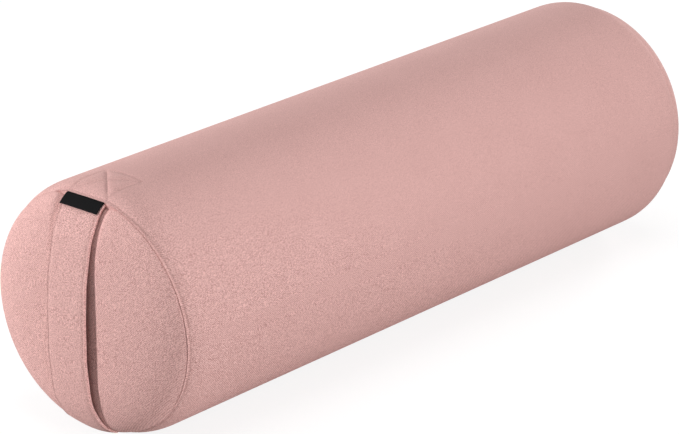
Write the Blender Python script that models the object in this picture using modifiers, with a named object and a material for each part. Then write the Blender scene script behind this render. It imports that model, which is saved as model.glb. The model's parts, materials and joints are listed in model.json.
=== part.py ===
"""Round yoga bolster: a zipped fabric cover with a carry handle, round a stuffed liner.

The bolster lies along X with its carry handle at the -X end. The origin is under the middle of the
bolster's length, on the flat that it rests on. Run it from Blender's text editor, or with
blender --background --python part.py.
"""

import math

import bmesh
import bpy
from mathutils import Matrix, Vector, geometry

# Outer cover, in metres
BODY_RADIUS = 0.108
SEAM_TO_SEAM = 0.648
SEAM_DRAW_IN = 0.0055
SHOULDER_LENGTH = 0.026
COVER_CLOTH = 0.0010
SEAM_ALLOWANCE = 0.0042
REST_FLAT_DEPTH = 0.0005

# Crown of each stuffed end. The handle end sags, eases off under its handle and leans out at the top
CROWN_HEIGHT = 0.0245
CROWN_POWER = 6
EASED_POWER = 2.5
TOP_EASE = 1.0
BOTTOM_EASE = 0.4
HANDLE_END_SAG = 0.25
HANDLE_END_LEAN = 0.054
LEAN_LENGTH = 0.2
PRESSED_BORDER = 0.0048

# Liner and filling
LINER_CLOTH = 0.0006
WRAP_DEPTH = 0.023
PAD_DEPTH = 0.025
ZIP_TUCK_ANGLE = math.radians(10)
TAIL_TUCK_WIDTH = 0.063

# Carry handle: a folded sleeve of the cover's cloth over a webbing core
HANDLE_WIDTH = 0.042
HANDLE_CLOTH = 0.0006
WEBBING_THICKNESS = 0.0008
WEBBING_WIDTH = 0.038
TAIL_LENGTH = 0.036
TAIL_RISE = 0.0042
HANDLE_TRAVEL = 0.016
# Shares of the seam's radius between which the handle goes from flat to curved across
BEND_START = 0.55
BEND_END = 0.95
# The handle's outer face on the end: its height as a share of the seam's radius, and how far it
# stands off the seam
HANDLE_ROUTE = (
    (0.9502, 0.0060),
    (0.8995, 0.0103),
    (0.8000, 0.0166),
    (0.6605, 0.0226),
    (0.3298, 0.0303),
    (0.0000, 0.0338),
    (-0.3298, 0.0353),
    (-0.6605, 0.0324),
    (-0.8400, 0.0250),
    (-0.9698, 0.0140),
    (-0.9980, 0.0055),
)

# Woven label at the top of the handle
LABEL_WIDTH = 0.0414
LABEL_LENGTH = 0.0150
LABEL_THICKNESS = 0.0008

# Zip along the hidden side, in a slot of the cover
ZIP_ANGLE = math.radians(15)
ZIP_LENGTH = 0.560
ZIP_SLOT_WIDTH = 0.014
TAPE_WIDTH = 0.0155
TAPE_THICKNESS = 0.0008
TAPE_OVERRUN = 0.008
COIL_WIDTH = 0.0023
COIL_HEIGHT = 0.0022
COIL_SPACING = 0.0016
STOP_LENGTH = 0.0030
STOP_WIDTH = 0.0026
STOP_HEIGHT = 0.0020
SLIDER_LENGTH = 0.0110
SLIDER_PLATE = 0.0012
SLIDER_FLANGE = 0.0016
SLIDER_BLADE = 0.0009
BRIDGE_WIDTH = 0.0018
BRIDGE_THICKNESS = 0.0009
PULL_LENGTH = 0.024
PULL_WIDTH = 0.0064
PULL_THICKNESS = 0.0013
PULL_EYE = 0.0040
PULL_HOLE_RADIUS = 0.0012
PULL_HOLE_INSET = 0.0030

# Clearances
FIT = 0.0003
LOOSE_FIT = 0.0008

# Fineness of the meshes
TURNING_STEPS = 48
SHOULDER_STEPS = 3
CROWN_SHARES = (0.0, 0.45, 0.75, 0.90)
SEAM_SHARES = (0.95, 0.985)
STATION_SPACING = 0.0065
ACROSS_HANDLE = 4
ACROSS_NOTCH = 6
ROD_SIDES = 16
PATH_STEP = 0.001

# Derived sizes
SEAM_RADIUS = BODY_RADIUS - SEAM_DRAW_IN
HALF_LENGTH = SEAM_TO_SEAM / 2
# A facet, and not a ridge, lies at the top and the bottom
HALF_FACET = math.pi / TURNING_STEPS
AXIS_HEIGHT = BODY_RADIUS * math.cos(HALF_FACET) - REST_FLAT_DEPTH
CORE_RADIUS = BODY_RADIUS - WRAP_DEPTH
SEAM_FACE = FIT / 2
SEAM_ROLL = SEAM_FACE + 2 * COVER_CLOTH + FIT
ALLOWANCE_RADIUS = SEAM_RADIUS - COVER_CLOTH - SEAM_ALLOWANCE
LINER_INSET = COVER_CLOTH + FIT
FILL_INSET = LINER_INSET + LINER_CLOTH + FIT
LINER_END_RADIUS = ALLOWANCE_RADIUS - LOOSE_FIT
HANDLE_THICKNESS = 2 * HANDLE_CLOTH + 2 * FIT + WEBBING_THICKNESS
TAIL_RADIUS = SEAM_RADIUS - COVER_CLOTH - 2 * FIT
TAIL_FLAT = HANDLE_TRAVEL + 2 * FIT
HANDLE_STAND_OFF = 3 * FIT
TAPE_RADIUS = BODY_RADIUS - COVER_CLOTH - FIT
COIL_LEVEL = TAPE_RADIUS + FIT
SLIDER_LEVEL = COIL_LEVEL + COIL_HEIGHT + FIT
SLIDER_TOP = SLIDER_LEVEL + SLIDER_PLATE
SLIDER_UNDER = TAPE_RADIUS - TAPE_THICKNESS - FIT
GROOVE_RADIUS = SLIDER_UNDER - SLIDER_PLATE - FIT
HINGE_LEVEL = SLIDER_TOP + FIT + PULL_THICKNESS / 2
SLIDER_WIDTH = 2 * (COIL_SPACING / 2 + COIL_WIDTH + FIT + SLIDER_FLANGE)
CHAIN_END = ZIP_LENGTH / 2 - STOP_LENGTH
SLIDER_REST = CHAIN_END - FIT - SLIDER_LENGTH / 2
ZIP_TURN = (ZIP_ANGLE - math.pi / 2, 0, 0)


def smooth_path(points):
    """Points about a millimetre apart on a smooth curve through the given ones."""
    last = len(points) - 1
    ways = []
    for index in range(last + 1):
        ways.append((points[min(index + 1, last)] - points[max(index - 1, 0)]).normalized())
    path = []
    for start, end, leaving, arriving in zip(points, points[1:], ways, ways[1:]):
        third = (end - start).length / 3
        count = max(2, round((end - start).length / PATH_STEP)) + 1
        handles = (start + leaving * third, end - arriving * third)
        path += geometry.interpolate_bezier(start, *handles, end, count)
        path.pop()
    return path + [points[-1]]


def handle_path():
    """The handle's outer face, from its upper tail's end to its lower tail's, as (out, height)."""
    tail = [
        (-TAIL_LENGTH, TAIL_RADIUS + TAIL_RISE),
        (-(TAIL_LENGTH + TAIL_FLAT) / 2, TAIL_RADIUS + TAIL_RISE / 2),
        (-TAIL_FLAT, TAIL_RADIUS),
        (-SHOULDER_LENGTH / 4, TAIL_RADIUS),
        (FIT, TAIL_RADIUS - FIT),
    ]
    lower_tail = [(out, -height) for out, height in reversed(tail)]
    route = [(out, share * SEAM_RADIUS) for share, out in HANDLE_ROUTE]
    return smooth_path([Vector(point) for point in tail + route + lower_tail])


HANDLE_PATH = handle_path()
HANDLE_RUN = [0.0]
for here, there in zip(HANDLE_PATH, HANDLE_PATH[1:]):
    HANDLE_RUN.append(HANDLE_RUN[-1] + (there - here).length)


def handle_at(run):
    """The point at a run along the handle's outer face, and the way inwards from it."""
    index = sum(1 for length in HANDLE_RUN[1:-1] if length <= run)
    start = HANDLE_PATH[index]
    way = (HANDLE_PATH[index + 1] - start).normalized()
    return start + way * (run - HANDLE_RUN[index]), Vector((way.y, -way.x))


def handle_underside():
    """The handle's inner face where it is clear of the seam, as (out, height) points from the top down."""
    points = []
    for run in HANDLE_RUN:
        outer, inward = handle_at(run)
        inner = outer + inward * HANDLE_THICKNESS
        if inner.x > 0 and (not points or inner.y < points[-1].y):
            points.append(inner)
    return points


HANDLE_UNDERSIDE = handle_underside()


def room_under_handle(height):
    """How far the handle's inner face stands off the seam at a height above the axis."""
    for above, below in zip(HANDLE_UNDERSIDE, HANDLE_UNDERSIDE[1:]):
        if below.y <= height:
            share = min(1.0, (height - below.y) / (above.y - below.y))
            return below.x + (above.x - below.x) * share
    return HANDLE_UNDERSIDE[-1].x


def plain_crown(radius):
    """How far the crown of the plain end stands out of its seam's plane at a radius."""
    share = min(1.0, radius / SEAM_RADIUS)
    return CROWN_HEIGHT * math.sqrt(1 - share**CROWN_POWER)


def handle_crown(y, z):
    """How far the crown of the handle end stands out: it sags, eases off and is pressed in by the handle."""
    radius = max(math.hypot(y, z), FIT)
    share = min(1.0, radius / SEAM_RADIUS)
    ease = (z / radius) ** 2 * (TOP_EASE if z > 0 else BOTTOM_EASE)
    full = plain_crown(radius)
    height = full + ease * (CROWN_HEIGHT * (1 - share**EASED_POWER) - full)
    height *= 1 - HANDLE_END_SAG * z / SEAM_RADIUS
    beside = max(0.0, abs(y) - HANDLE_WIDTH / 2 - PRESSED_BORDER)
    return max(SEAM_ROLL, min(height, room_under_handle(z) - HANDLE_STAND_OFF + beside))


def lean(out, y, z):
    """The point that lies out metres outside the handle end's seam plane, leant over with that end."""
    share = min(1.0, max(0.0, 1 + out / LEAN_LENGTH))
    return Vector((-HALF_LENGTH - out - HANDLE_END_LEAN * z * share, y, z))


def settle(point):
    """Where a point of the evenly stuffed bolster lies once the handle end has settled."""
    out = -HALF_LENGTH - point.x
    if out > SEAM_ROLL:
        out += handle_crown(point.y, point.z) - plain_crown(math.hypot(point.y, point.z))
    return lean(out, point.y, point.z)


def handle_point(run, across, depth):
    """A point of the handle: a run along it, a place across it, and a depth under its outer face."""
    outer, inward = handle_at(run)
    point = outer + inward * depth
    # The handle is curved across where it passes through the round seam, and flat on the end's middle
    sink = SEAM_RADIUS - math.sqrt(SEAM_RADIUS**2 - across**2)
    share = (abs(outer.y) / SEAM_RADIUS - BEND_START) / (BEND_END - BEND_START)
    bend = min(1.0, max(0.0, share))
    return lean(point.x, across, point.y - math.copysign(sink * bend, point.y))


FURTHEST_OUT = max(-handle_point(run, 0.0, 0.0).x for run in HANDLE_RUN)
BODY_CENTRE = Vector(((FURTHEST_OUT - HALF_LENGTH - CROWN_HEIGHT) / 2, 0, AXIS_HEIGHT))


def new_collection(name):
    made = bpy.data.collections.new(name)
    bpy.context.scene.collection.children.link(made)
    return made


def material(name, colour, roughness, metallic=0.0):
    made = bpy.data.materials.new(name)
    made.use_nodes = True
    shader = made.node_tree.nodes["Principled BSDF"]
    shader.inputs["Base Color"].default_value = (*colour, 1.0)
    shader.inputs["Roughness"].default_value = roughness
    shader.inputs["Metallic"].default_value = metallic
    return made


def add_object(name, mesh, group, finish=None, location=None, rotation=(0, 0, 0)):
    """An object of the mesh in the collection. One without a finish is a cutter."""
    made = bpy.data.objects.new(name, mesh)
    group.objects.link(made)
    made.location = BODY_CENTRE if location is None else location
    made.rotation_euler = rotation
    if finish:
        mesh.materials.append(finish)
    else:
        made.hide_render = True
        made.display_type = "WIRE"
    return made


def mesh_from(name, shape):
    """A mesh from the bmesh, with its faces turned outwards."""
    shape.normal_update()
    bmesh.ops.recalc_face_normals(shape, faces=shape.faces)
    mesh = bpy.data.meshes.new(name)
    shape.to_mesh(mesh)
    shape.free()
    return mesh


def boolean(made, operation, *others):
    for other in others:
        modifier = made.modifiers.new(f"{operation.lower()} {other.name}", "BOOLEAN")
        modifier.operation = operation
        modifier.object = other


def rounded(made, width):
    modifier = made.modifiers.new("rounded edges", "BEVEL")
    modifier.width = width
    modifier.segments = 2


def box(name, low, high, group, finish=None, **placing):
    """A box between two corners."""
    shape = bmesh.new()
    bmesh.ops.create_cube(shape, size=1.0)
    size = Vector(high) - Vector(low)
    bmesh.ops.scale(shape, vec=size, verts=shape.verts)
    bmesh.ops.translate(shape, vec=Vector(low) + size / 2, verts=shape.verts)
    return add_object(name, mesh_from(name, shape), group, finish, **placing)


def rod(name, radius, length, middle, turn, group, **placing):
    """A round rod, turned from lying along Z and then placed by its middle."""
    shape = bmesh.new()
    bmesh.ops.create_cone(
        shape, cap_ends=True, segments=ROD_SIDES, radius1=radius, radius2=radius, depth=length
    )
    bmesh.ops.transform(shape, matrix=Matrix.Translation(middle) @ turn, verts=shape.verts)
    return add_object(name, mesh_from(name, shape), group, **placing)


def turned(name, profile, move, group, finish):
    """A profile of (x, radius) points turned round X, and each of its points then moved."""
    outline = bmesh.new()
    points = [outline.verts.new((x, 0, radius)) for x, radius in profile]
    for pair in zip(points, points[1:]):
        outline.edges.new(pair)
    if profile[0][1] > 0:
        outline.edges.new((points[-1], points[0]))
    mesh = bpy.data.meshes.new(name)
    outline.to_mesh(mesh)
    outline.free()
    blank = bpy.data.objects.new(f"{name}_profile", mesh)
    bpy.context.scene.collection.objects.link(blank)
    screw = blank.modifiers.new("turn", "SCREW")
    screw.axis = "X"
    screw.steps = TURNING_STEPS
    screw.render_steps = TURNING_STEPS
    screw.use_merge_vertices = True
    screw.merge_threshold = 0.00001
    shape = bmesh.new()
    shape.from_object(blank, bpy.context.evaluated_depsgraph_get())
    bpy.data.objects.remove(blank)
    half_facet = Matrix.Rotation(HALF_FACET, 3, "X")
    for vert in shape.verts:
        vert.co = move(half_facet @ vert.co)
    # Every layer is split along the same diagonals, so that none cuts into the next
    bmesh.ops.triangulate(shape, faces=shape.faces, quad_method="SHORT_EDGE")
    return add_object(name, mesh_from(name, shape), group, finish)


def body_radius(inside):
    """Radius of the body at a distance inside a seam's plane."""
    share = min(1.0, inside / SHOULDER_LENGTH)
    return SEAM_RADIUS + SEAM_DRAW_IN * math.sqrt(1 - (1 - share) ** 2)


def both_ends(rings):
    """A profile from the -X end to the +X end, from one end's rings of (distance inside the seam, radius)."""
    left = [(-HALF_LENGTH + inside, radius) for inside, radius in rings]
    right = [(HALF_LENGTH - inside, radius) for inside, radius in reversed(rings)]
    return left + [(-HALF_LENGTH + LEAN_LENGTH, rings[-1][1])] + right


def seam_notches(name, low, high, reach, group):
    """Cutters for the two gaps in the seam, from one radius to another, that the handle's tails pass."""
    made = []
    for side, sign in (("upper", 1), ("lower", -1)):
        shape = bmesh.new()
        bmesh.ops.create_cube(shape, size=1.0)
        across_edges = []
        for edge in shape.edges:
            if edge.verts[0].co.y != edge.verts[1].co.y:
                across_edges.append(edge)
        bmesh.ops.subdivide_edges(shape, edges=across_edges, cuts=ACROSS_NOTCH - 1)
        for vert in shape.verts:
            across = vert.co.y * (HANDLE_WIDTH + 2 * FIT)
            radius = high if vert.co.z > 0 else low
            height = sign * (radius - SEAM_RADIUS + math.sqrt(SEAM_RADIUS**2 - across**2))
            vert.co = lean(2 * reach * vert.co.x, across, height)
        cutter = f"{name}_{side}_notch_cutter"
        made.append(add_object(cutter, mesh_from(cutter, shape), group))
    return made


def make_cover_body(parts, cutters, finish):
    """The tube of cloth, turned in at both seams, with its zip slot, handle notches and rest flat."""
    face = (SEAM_FACE, ALLOWANCE_RADIUS)
    back = (SEAM_FACE + COVER_CLOTH, ALLOWANCE_RADIUS)
    shares = [step / SHOULDER_STEPS for step in range(1, SHOULDER_STEPS + 1)]
    steps = [SHOULDER_LENGTH * share**2 for share in shares]
    outer = [face] + [(inside, body_radius(inside)) for inside in [SEAM_FACE] + steps]
    inner = [back] + [(inside, body_radius(inside) - COVER_CLOTH) for inside in [back[0]] + steps]
    profile = both_ends(outer) + both_ends(inner)[::-1]
    body = turned("cover_body", profile, settle, parts, finish)
    slot = box(
        "zip_slot_cutter",
        (-ZIP_LENGTH / 2 - LOOSE_FIT, -ZIP_SLOT_WIDTH / 2, GROOVE_RADIUS),
        (ZIP_LENGTH / 2 + LOOSE_FIT, ZIP_SLOT_WIDTH / 2, HINGE_LEVEL),
        cutters,
        rotation=ZIP_TURN,
    )
    floor = box(
        "rest_flat_cutter",
        (-SEAM_TO_SEAM, -BODY_RADIUS, -2 * BODY_RADIUS),
        (SEAM_TO_SEAM, BODY_RADIUS, -AXIS_HEIGHT),
        cutters,
    )
    high = TAIL_RADIUS + 2 * FIT
    notches = seam_notches("body", LINER_END_RADIUS, high, SHOULDER_LENGTH / 4, cutters)
    boolean(body, "DIFFERENCE", slot, floor, *notches)


def crown_rings(inset, last):
    """Rings of (distance outside the seam, radius) over a crown that is set in, from its middle to a radius."""
    radii = [share * SEAM_RADIUS for share in CROWN_SHARES] + [last]
    return [(plain_crown(radius) - inset, radius) for radius in radii]


def facing(side, rings):
    """The rings at one end of the bolster, -1 for the handle's and 1 for the plain one."""
    return [(side * (HALF_LENGTH + out), radius) for out, radius in rings]


def make_cover_end(name, side, parts, finish):
    """A crowned disc of cloth with its seam allowance turned in."""
    outer = crown_rings(0.0, SEAM_SHARES[0] * SEAM_RADIUS)
    outer += [(plain_crown(share * SEAM_RADIUS), share * SEAM_RADIUS) for share in SEAM_SHARES[1:]]
    back = SEAM_FACE + COVER_CLOTH
    turned_in = [(SEAM_FACE, SEAM_RADIUS), (SEAM_FACE, ALLOWANCE_RADIUS), (back, ALLOWANCE_RADIUS)]
    inner = crown_rings(COVER_CLOTH, LINER_END_RADIUS) + [(back, SEAM_RADIUS - COVER_CLOTH)]
    return turned(name, facing(side, outer + turned_in + inner[::-1]), settle, parts, finish)


def make_liner_end(name, side, parts, finish):
    """A crowned disc of lining whose edge reaches back through the seam to the liner's tube."""
    back = -(SEAM_FACE + LINER_INSET + LINER_CLOTH)
    outer = crown_rings(LINER_INSET, LINER_END_RADIUS) + [(back, LINER_END_RADIUS)]
    inner_radius = LINER_END_RADIUS - LINER_CLOTH
    inner = crown_rings(LINER_INSET + LINER_CLOTH, inner_radius) + [(back, inner_radius)]
    turned(name, facing(side, outer + inner[::-1]), settle, parts, finish)


def make_end_pad(name, side, parts, finish):
    """The wadding that fills one end's crown."""
    radius = LINER_END_RADIUS - LINER_CLOTH - LOOSE_FIT
    rings = crown_rings(FILL_INSET, radius) + [(-PAD_DEPTH, radius), (-PAD_DEPTH, 0.0)]
    turned(name, facing(side, rings), settle, parts, finish)


def tucked(point, depth):
    """A point of the liner or its filling, pressed in under the zip and the tails, then settled."""
    radius = math.hypot(point.y, point.z)
    limit = radius
    zip_side = Vector((0, math.cos(ZIP_ANGLE), math.sin(ZIP_ANGLE)))
    if point.dot(zip_side) > radius * math.cos(ZIP_TUCK_ANGLE):
        limit = min(limit, GROOVE_RADIUS - FIT - depth)
    inside = HALF_LENGTH + point.x
    if abs(point.y) < TAIL_TUCK_WIDTH / 2 and inside < TAIL_LENGTH + SHOULDER_LENGTH / 2:
        rise = min(1.0, max(0.0, (inside - TAIL_FLAT) / (TAIL_LENGTH - TAIL_FLAT)))
        limit = min(limit, TAIL_RADIUS - HANDLE_THICKNESS - 3 * FIT + TAIL_RISE * rise - depth)
    scale = limit / max(radius, FIT)
    return settle(Vector((point.x, point.y * scale, point.z * scale)))


def lining_rings(inset):
    """Rings over one end of the liner or what it holds, closest together where the handle's tails lie."""
    distances = [SEAM_FACE + inset, SHOULDER_LENGTH / 4, TAIL_FLAT]
    distances += [TAIL_LENGTH + SHOULDER_LENGTH / 4, TAIL_LENGTH + SHOULDER_LENGTH]
    return [(inside, body_radius(inside) - inset) for inside in distances]


def make_liner_body(parts, finish):
    """The liner's tube, turned in at both ends."""
    inner_inset = LINER_INSET + LINER_CLOTH
    radius = LINER_END_RADIUS + FIT
    outer = [(SEAM_FACE + LINER_INSET, radius)] + lining_rings(LINER_INSET)
    inner = [(SEAM_FACE + inner_inset, radius)] + lining_rings(inner_inset)

    def move(point):
        outside = body_radius(HALF_LENGTH - abs(point.x)) - LINER_INSET
        on_inner_wall = math.hypot(point.y, point.z) < outside - LINER_CLOTH / 2
        return tucked(point, LINER_CLOTH if on_inner_wall else 0.0)

    turned("liner_body", both_ends(outer) + both_ends(inner)[::-1], move, parts, finish)


def make_filling(parts, wadding, foam):
    """The wadding wrapped round the foam core, and the core."""
    outer = lining_rings(FILL_INSET)
    end_radius = LINER_END_RADIUS - LINER_CLOTH
    step = PAD_DEPTH + FIT
    inner = [(outer[0][0], end_radius), (step, end_radius), (step, CORE_RADIUS + FIT)]

    def move(point):
        if math.hypot(point.y, point.z) < end_radius + FIT:
            return settle(point)
        return tucked(point, LINER_CLOTH + FIT)

    turned("batting_wrap", both_ends(outer) + both_ends(inner)[::-1], move, parts, wadding)
    core = both_ends([(step, 0.0), (step, CORE_RADIUS)])
    turned("foam_core", core, settle, parts, foam)


def stations_between(start, end):
    """Runs along the handle at which every layer of it bends alike, with its own start and end."""
    steps = range(math.ceil(start / STATION_SPACING), math.floor(end / STATION_SPACING) + 1)
    margin = STATION_SPACING / 4
    inner = [step * STATION_SPACING for step in steps]
    return [start] + [run for run in inner if start + margin < run < end - margin] + [end]


def ribbon(name, start, end, width, depth, thickness, group, finish=None):
    """A strip of the handle between two runs, its outer side at a depth under the outer face."""
    shape = bmesh.new()
    stations = stations_between(start, end)
    last = len(stations) - 1
    bmesh.ops.create_grid(shape, x_segments=last, y_segments=ACROSS_HANDLE, size=0.5)
    for vert in shape.verts:
        run = stations[round((vert.co.x + 0.5) * last)]
        vert.co = handle_point(run, vert.co.y * width, depth)
    mesh = bpy.data.meshes.new(name)
    shape.to_mesh(mesh)
    shape.free()
    made = add_object(name, mesh, group, finish)
    # The grid's faces look in towards the bolster, so the thickness is added on that side
    solid = made.modifiers.new("thickness", "SOLIDIFY")
    solid.thickness = thickness
    solid.offset = 1
    return made


def make_handle(parts, cutters, cloth, webbing, label_cloth):
    """The handle's sleeve, its webbing core, and the label at its top."""
    length = HANDLE_RUN[-1]
    sleeve = ribbon("handle_sleeve", 0.0, length, HANDLE_WIDTH, 0.0, HANDLE_THICKNESS, parts, cloth)
    room = HANDLE_THICKNESS - 2 * HANDLE_CLOTH
    width = WEBBING_WIDTH + 2 * FIT
    ends = (-LOOSE_FIT, length + LOOSE_FIT)
    hollow = ribbon("handle_hollow_cutter", *ends, width, HANDLE_CLOTH, room, cutters)
    boolean(sleeve, "DIFFERENCE", hollow)
    size = (WEBBING_WIDTH, HANDLE_CLOTH + FIT, WEBBING_THICKNESS)
    ribbon("handle_webbing", 0.0, length, *size, parts, webbing)
    top = [run for run, point in zip(HANDLE_RUN, HANDLE_PATH) if point.y > 0 and point.x < 2 * FIT]
    size = (LABEL_WIDTH, -FIT - LABEL_THICKNESS, LABEL_THICKNESS)
    ribbon("handle_label", max(top), max(top) + LABEL_LENGTH, *size, parts, label_cloth)


def make_tape(name, sign, parts, finish):
    """One woven tape, curved with the body, from beside its coil to under the edge of the cover."""
    shape = bmesh.new()
    bmesh.ops.create_grid(shape, x_segments=1, y_segments=4, size=0.5)
    for vert in shape.verts:
        across = COIL_SPACING / 2 + (vert.co.y + 0.5) * TAPE_WIDTH
        level = math.sqrt(TAPE_RADIUS**2 - across**2)
        vert.co = (vert.co.x * (ZIP_LENGTH + 2 * TAPE_OVERRUN), sign * across, level)
    mesh = bpy.data.meshes.new(name)
    shape.to_mesh(mesh)
    shape.free()
    tape = add_object(name, mesh, parts, finish, rotation=ZIP_TURN)
    solid = tape.modifiers.new("thickness", "SOLIDIFY")
    solid.thickness = TAPE_THICKNESS
    solid.offset = -sign


def make_zip_side(side, sign, parts, tape_cloth, nylon, metal):
    """One side of the zip: its tape, its coil and the stop at the closed end."""
    make_tape(f"zip_tape_{side}", sign, parts, tape_cloth)
    near = sign * COIL_SPACING / 2
    far = sign * (COIL_SPACING / 2 + COIL_WIDTH)
    coil = box(
        f"zip_coil_{side}",
        (-CHAIN_END + FIT, min(near, far), COIL_LEVEL),
        (CHAIN_END - FIT, max(near, far), COIL_LEVEL + COIL_HEIGHT),
        parts,
        nylon,
        rotation=ZIP_TURN,
    )
    rounded(coil, COIL_HEIGHT / 4)
    far = sign * (COIL_SPACING / 2 + STOP_WIDTH)
    stop = box(
        f"zip_top_stop_{side}",
        (CHAIN_END, min(near, far), COIL_LEVEL),
        (ZIP_LENGTH / 2, max(near, far), COIL_LEVEL + STOP_HEIGHT),
        parts,
        metal,
        rotation=ZIP_TURN,
    )
    rounded(stop, STOP_HEIGHT / 6)


def make_bottom_stop(parts, finish):
    """The stop across both tapes at the end that opens last."""
    half = COIL_SPACING / 2 + COIL_WIDTH
    low = (-ZIP_LENGTH / 2, -half, COIL_LEVEL)
    high = (-CHAIN_END, half, COIL_LEVEL + STOP_HEIGHT)
    stop = box("zip_bottom_stop", low, high, parts, finish, rotation=ZIP_TURN)
    rounded(stop, STOP_HEIGHT / 6)


def on_slider():
    """Where the slider and its pull lie: their origin is on the pull's hinge, over the middle of the chain."""
    out = Matrix.Rotation(ZIP_TURN[0], 3, "X") @ Vector((SLIDER_REST, 0, HINGE_LEVEL))
    return {"location": BODY_CENTRE + out, "rotation": ZIP_TURN}


def make_slider(parts, cutters, finish):
    """Two plates joined by the blade between the coils, with side flanges and a bridge for the pull."""
    long = SLIDER_LENGTH / 2
    wide = SLIDER_WIDTH / 2
    level = SLIDER_LEVEL - HINGE_LEVEL
    top = SLIDER_TOP - HINGE_LEVEL
    under = SLIDER_UNDER - HINGE_LEVEL
    skirt = TAPE_RADIUS + LOOSE_FIT - HINGE_LEVEL
    slider = box("zip_slider", (-long, -wide, level), (long, wide, top), parts, finish, **on_slider())
    rounded(slider, SLIDER_PLATE / 4)
    low = (-long, -wide, under - SLIDER_PLATE)
    under_plate = box("slider_under_plate", low, (long, wide, under), cutters, **on_slider())
    half = SLIDER_BLADE / 2
    low = (-long / 2, -half, under - FIT)
    blade = box("slider_blade", low, (long / 2, half, level + FIT), cutters, **on_slider())
    flanges = []
    for side, sign in (("upper", -1), ("lower", 1)):
        edges = sorted((sign * wide, sign * (wide - SLIDER_FLANGE)))
        low = (-long + FIT, edges[0] + FIT, skirt)
        high = (long - FIT, edges[1] - FIT, level + FIT)
        flanges.append(box(f"slider_{side}_flange", low, high, cutters, **on_slider()))
    reach = PULL_THICKNESS / 2 + LOOSE_FIT
    roof = PULL_THICKNESS / 2 + FIT
    outer = reach + BRIDGE_THICKNESS
    side = BRIDGE_WIDTH / 2
    low = (-outer, -side, top - FIT)
    bridge = box("slider_bridge", low, (outer, side, roof + BRIDGE_THICKNESS), cutters, **on_slider())
    low = (-reach, -2 * side, top)
    gap = box("slider_bridge_gap_cutter", low, (reach, 2 * side, roof), cutters, **on_slider())
    boolean(bridge, "DIFFERENCE", gap)
    boolean(slider, "UNION", under_plate, blade, *flanges, bridge)


def make_pull(parts, cutters, finish):
    """The flat pull, with an eye round the bridge's leg and a bar that turns under the bridge."""
    half = PULL_THICKNESS / 2
    wide = PULL_WIDTH / 2
    pull = box("zip_pull", (-PULL_LENGTH, -wide, -half), (0, wide, half), parts, finish, **on_slider())
    rounded(pull, PULL_THICKNESS / 5)
    lying_across = Matrix.Rotation(math.pi / 2, 4, "X")
    bar = rod("pull_bar", half, PULL_WIDTH - FIT, (0, 0, 0), lying_across, cutters, **on_slider())
    eye_side = BRIDGE_WIDTH / 2 + FIT
    low = (-PULL_EYE, -eye_side, -2 * half)
    eye = box("pull_eye_cutter", low, (-half, eye_side, 2 * half), cutters, **on_slider())
    middle = (-PULL_LENGTH + PULL_HOLE_INSET, 0, 0)
    hole = rod("pull_hole_cutter", PULL_HOLE_RADIUS, 4 * half, middle, Matrix(), cutters, **on_slider())
    boolean(pull, "UNION", bar)
    boolean(pull, "DIFFERENCE", eye, hole)


def main():
    for old in list(bpy.data.objects):
        bpy.data.objects.remove(old)
    parts = new_collection("yoga_bolster")
    cutters = new_collection("cutters")
    cutters.hide_render = True
    rose = material("rose brushed cotton", (0.62, 0.36, 0.33), 0.9)
    lining = material("undyed cotton lining", (0.78, 0.74, 0.66), 0.9)
    wadding = material("polyester wadding", (0.88, 0.88, 0.86), 1.0)
    foam = material("polyurethane foam", (0.80, 0.76, 0.58), 0.95)
    webbing = material("rose cotton webbing", (0.58, 0.33, 0.31), 0.85)
    black = material("black woven label", (0.012, 0.012, 0.012), 0.8)
    tape = material("rose polyester zip tape", (0.55, 0.30, 0.28), 0.85)
    nylon = material("rose nylon coil", (0.58, 0.32, 0.30), 0.4)
    nickel = material("nickel plated zinc", (0.62, 0.60, 0.57), 0.3, metallic=1.0)

    make_cover_body(parts, cutters, rose)
    make_cover_end("cover_end_plain", 1, parts, rose)
    handle_end = make_cover_end("cover_end_handle", -1, parts, rose)
    low = LINER_END_RADIUS - HANDLE_THICKNESS
    boolean(handle_end, "DIFFERENCE", *seam_notches("end", low, BODY_RADIUS, TAIL_FLAT, cutters))
    make_handle(parts, cutters, rose, webbing, black)
    for side, sign in (("upper", -1), ("lower", 1)):
        make_zip_side(side, sign, parts, tape, nylon, nickel)
    make_bottom_stop(parts, nickel)
    make_slider(parts, cutters, nickel)
    make_pull(parts, cutters, nickel)
    make_liner_body(parts, lining)
    for name, side in (("handle", -1), ("plain", 1)):
        make_liner_end(f"liner_end_{name}", side, parts, lining)
        make_end_pad(f"end_pad_{name}", side, parts, wadding)
    make_filling(parts, wadding, foam)


main()
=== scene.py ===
"""Looks of a round yoga bolster, in metres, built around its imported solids.

The bolster lies along X with its carry handle at the -X end, its zip on the +Y side and the floor at
z = 0. Every piece is first made about the bolster's own axis and then placed by CENTRE.
"""

import json
import logging
import math
from contextlib import contextmanager
from dataclasses import dataclass, field
from enum import Enum
from typing import Callable, Iterator, Optional, Sequence

import bmesh
import bpy
import numpy as np
from mathutils import Matrix, Vector, geometry

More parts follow.
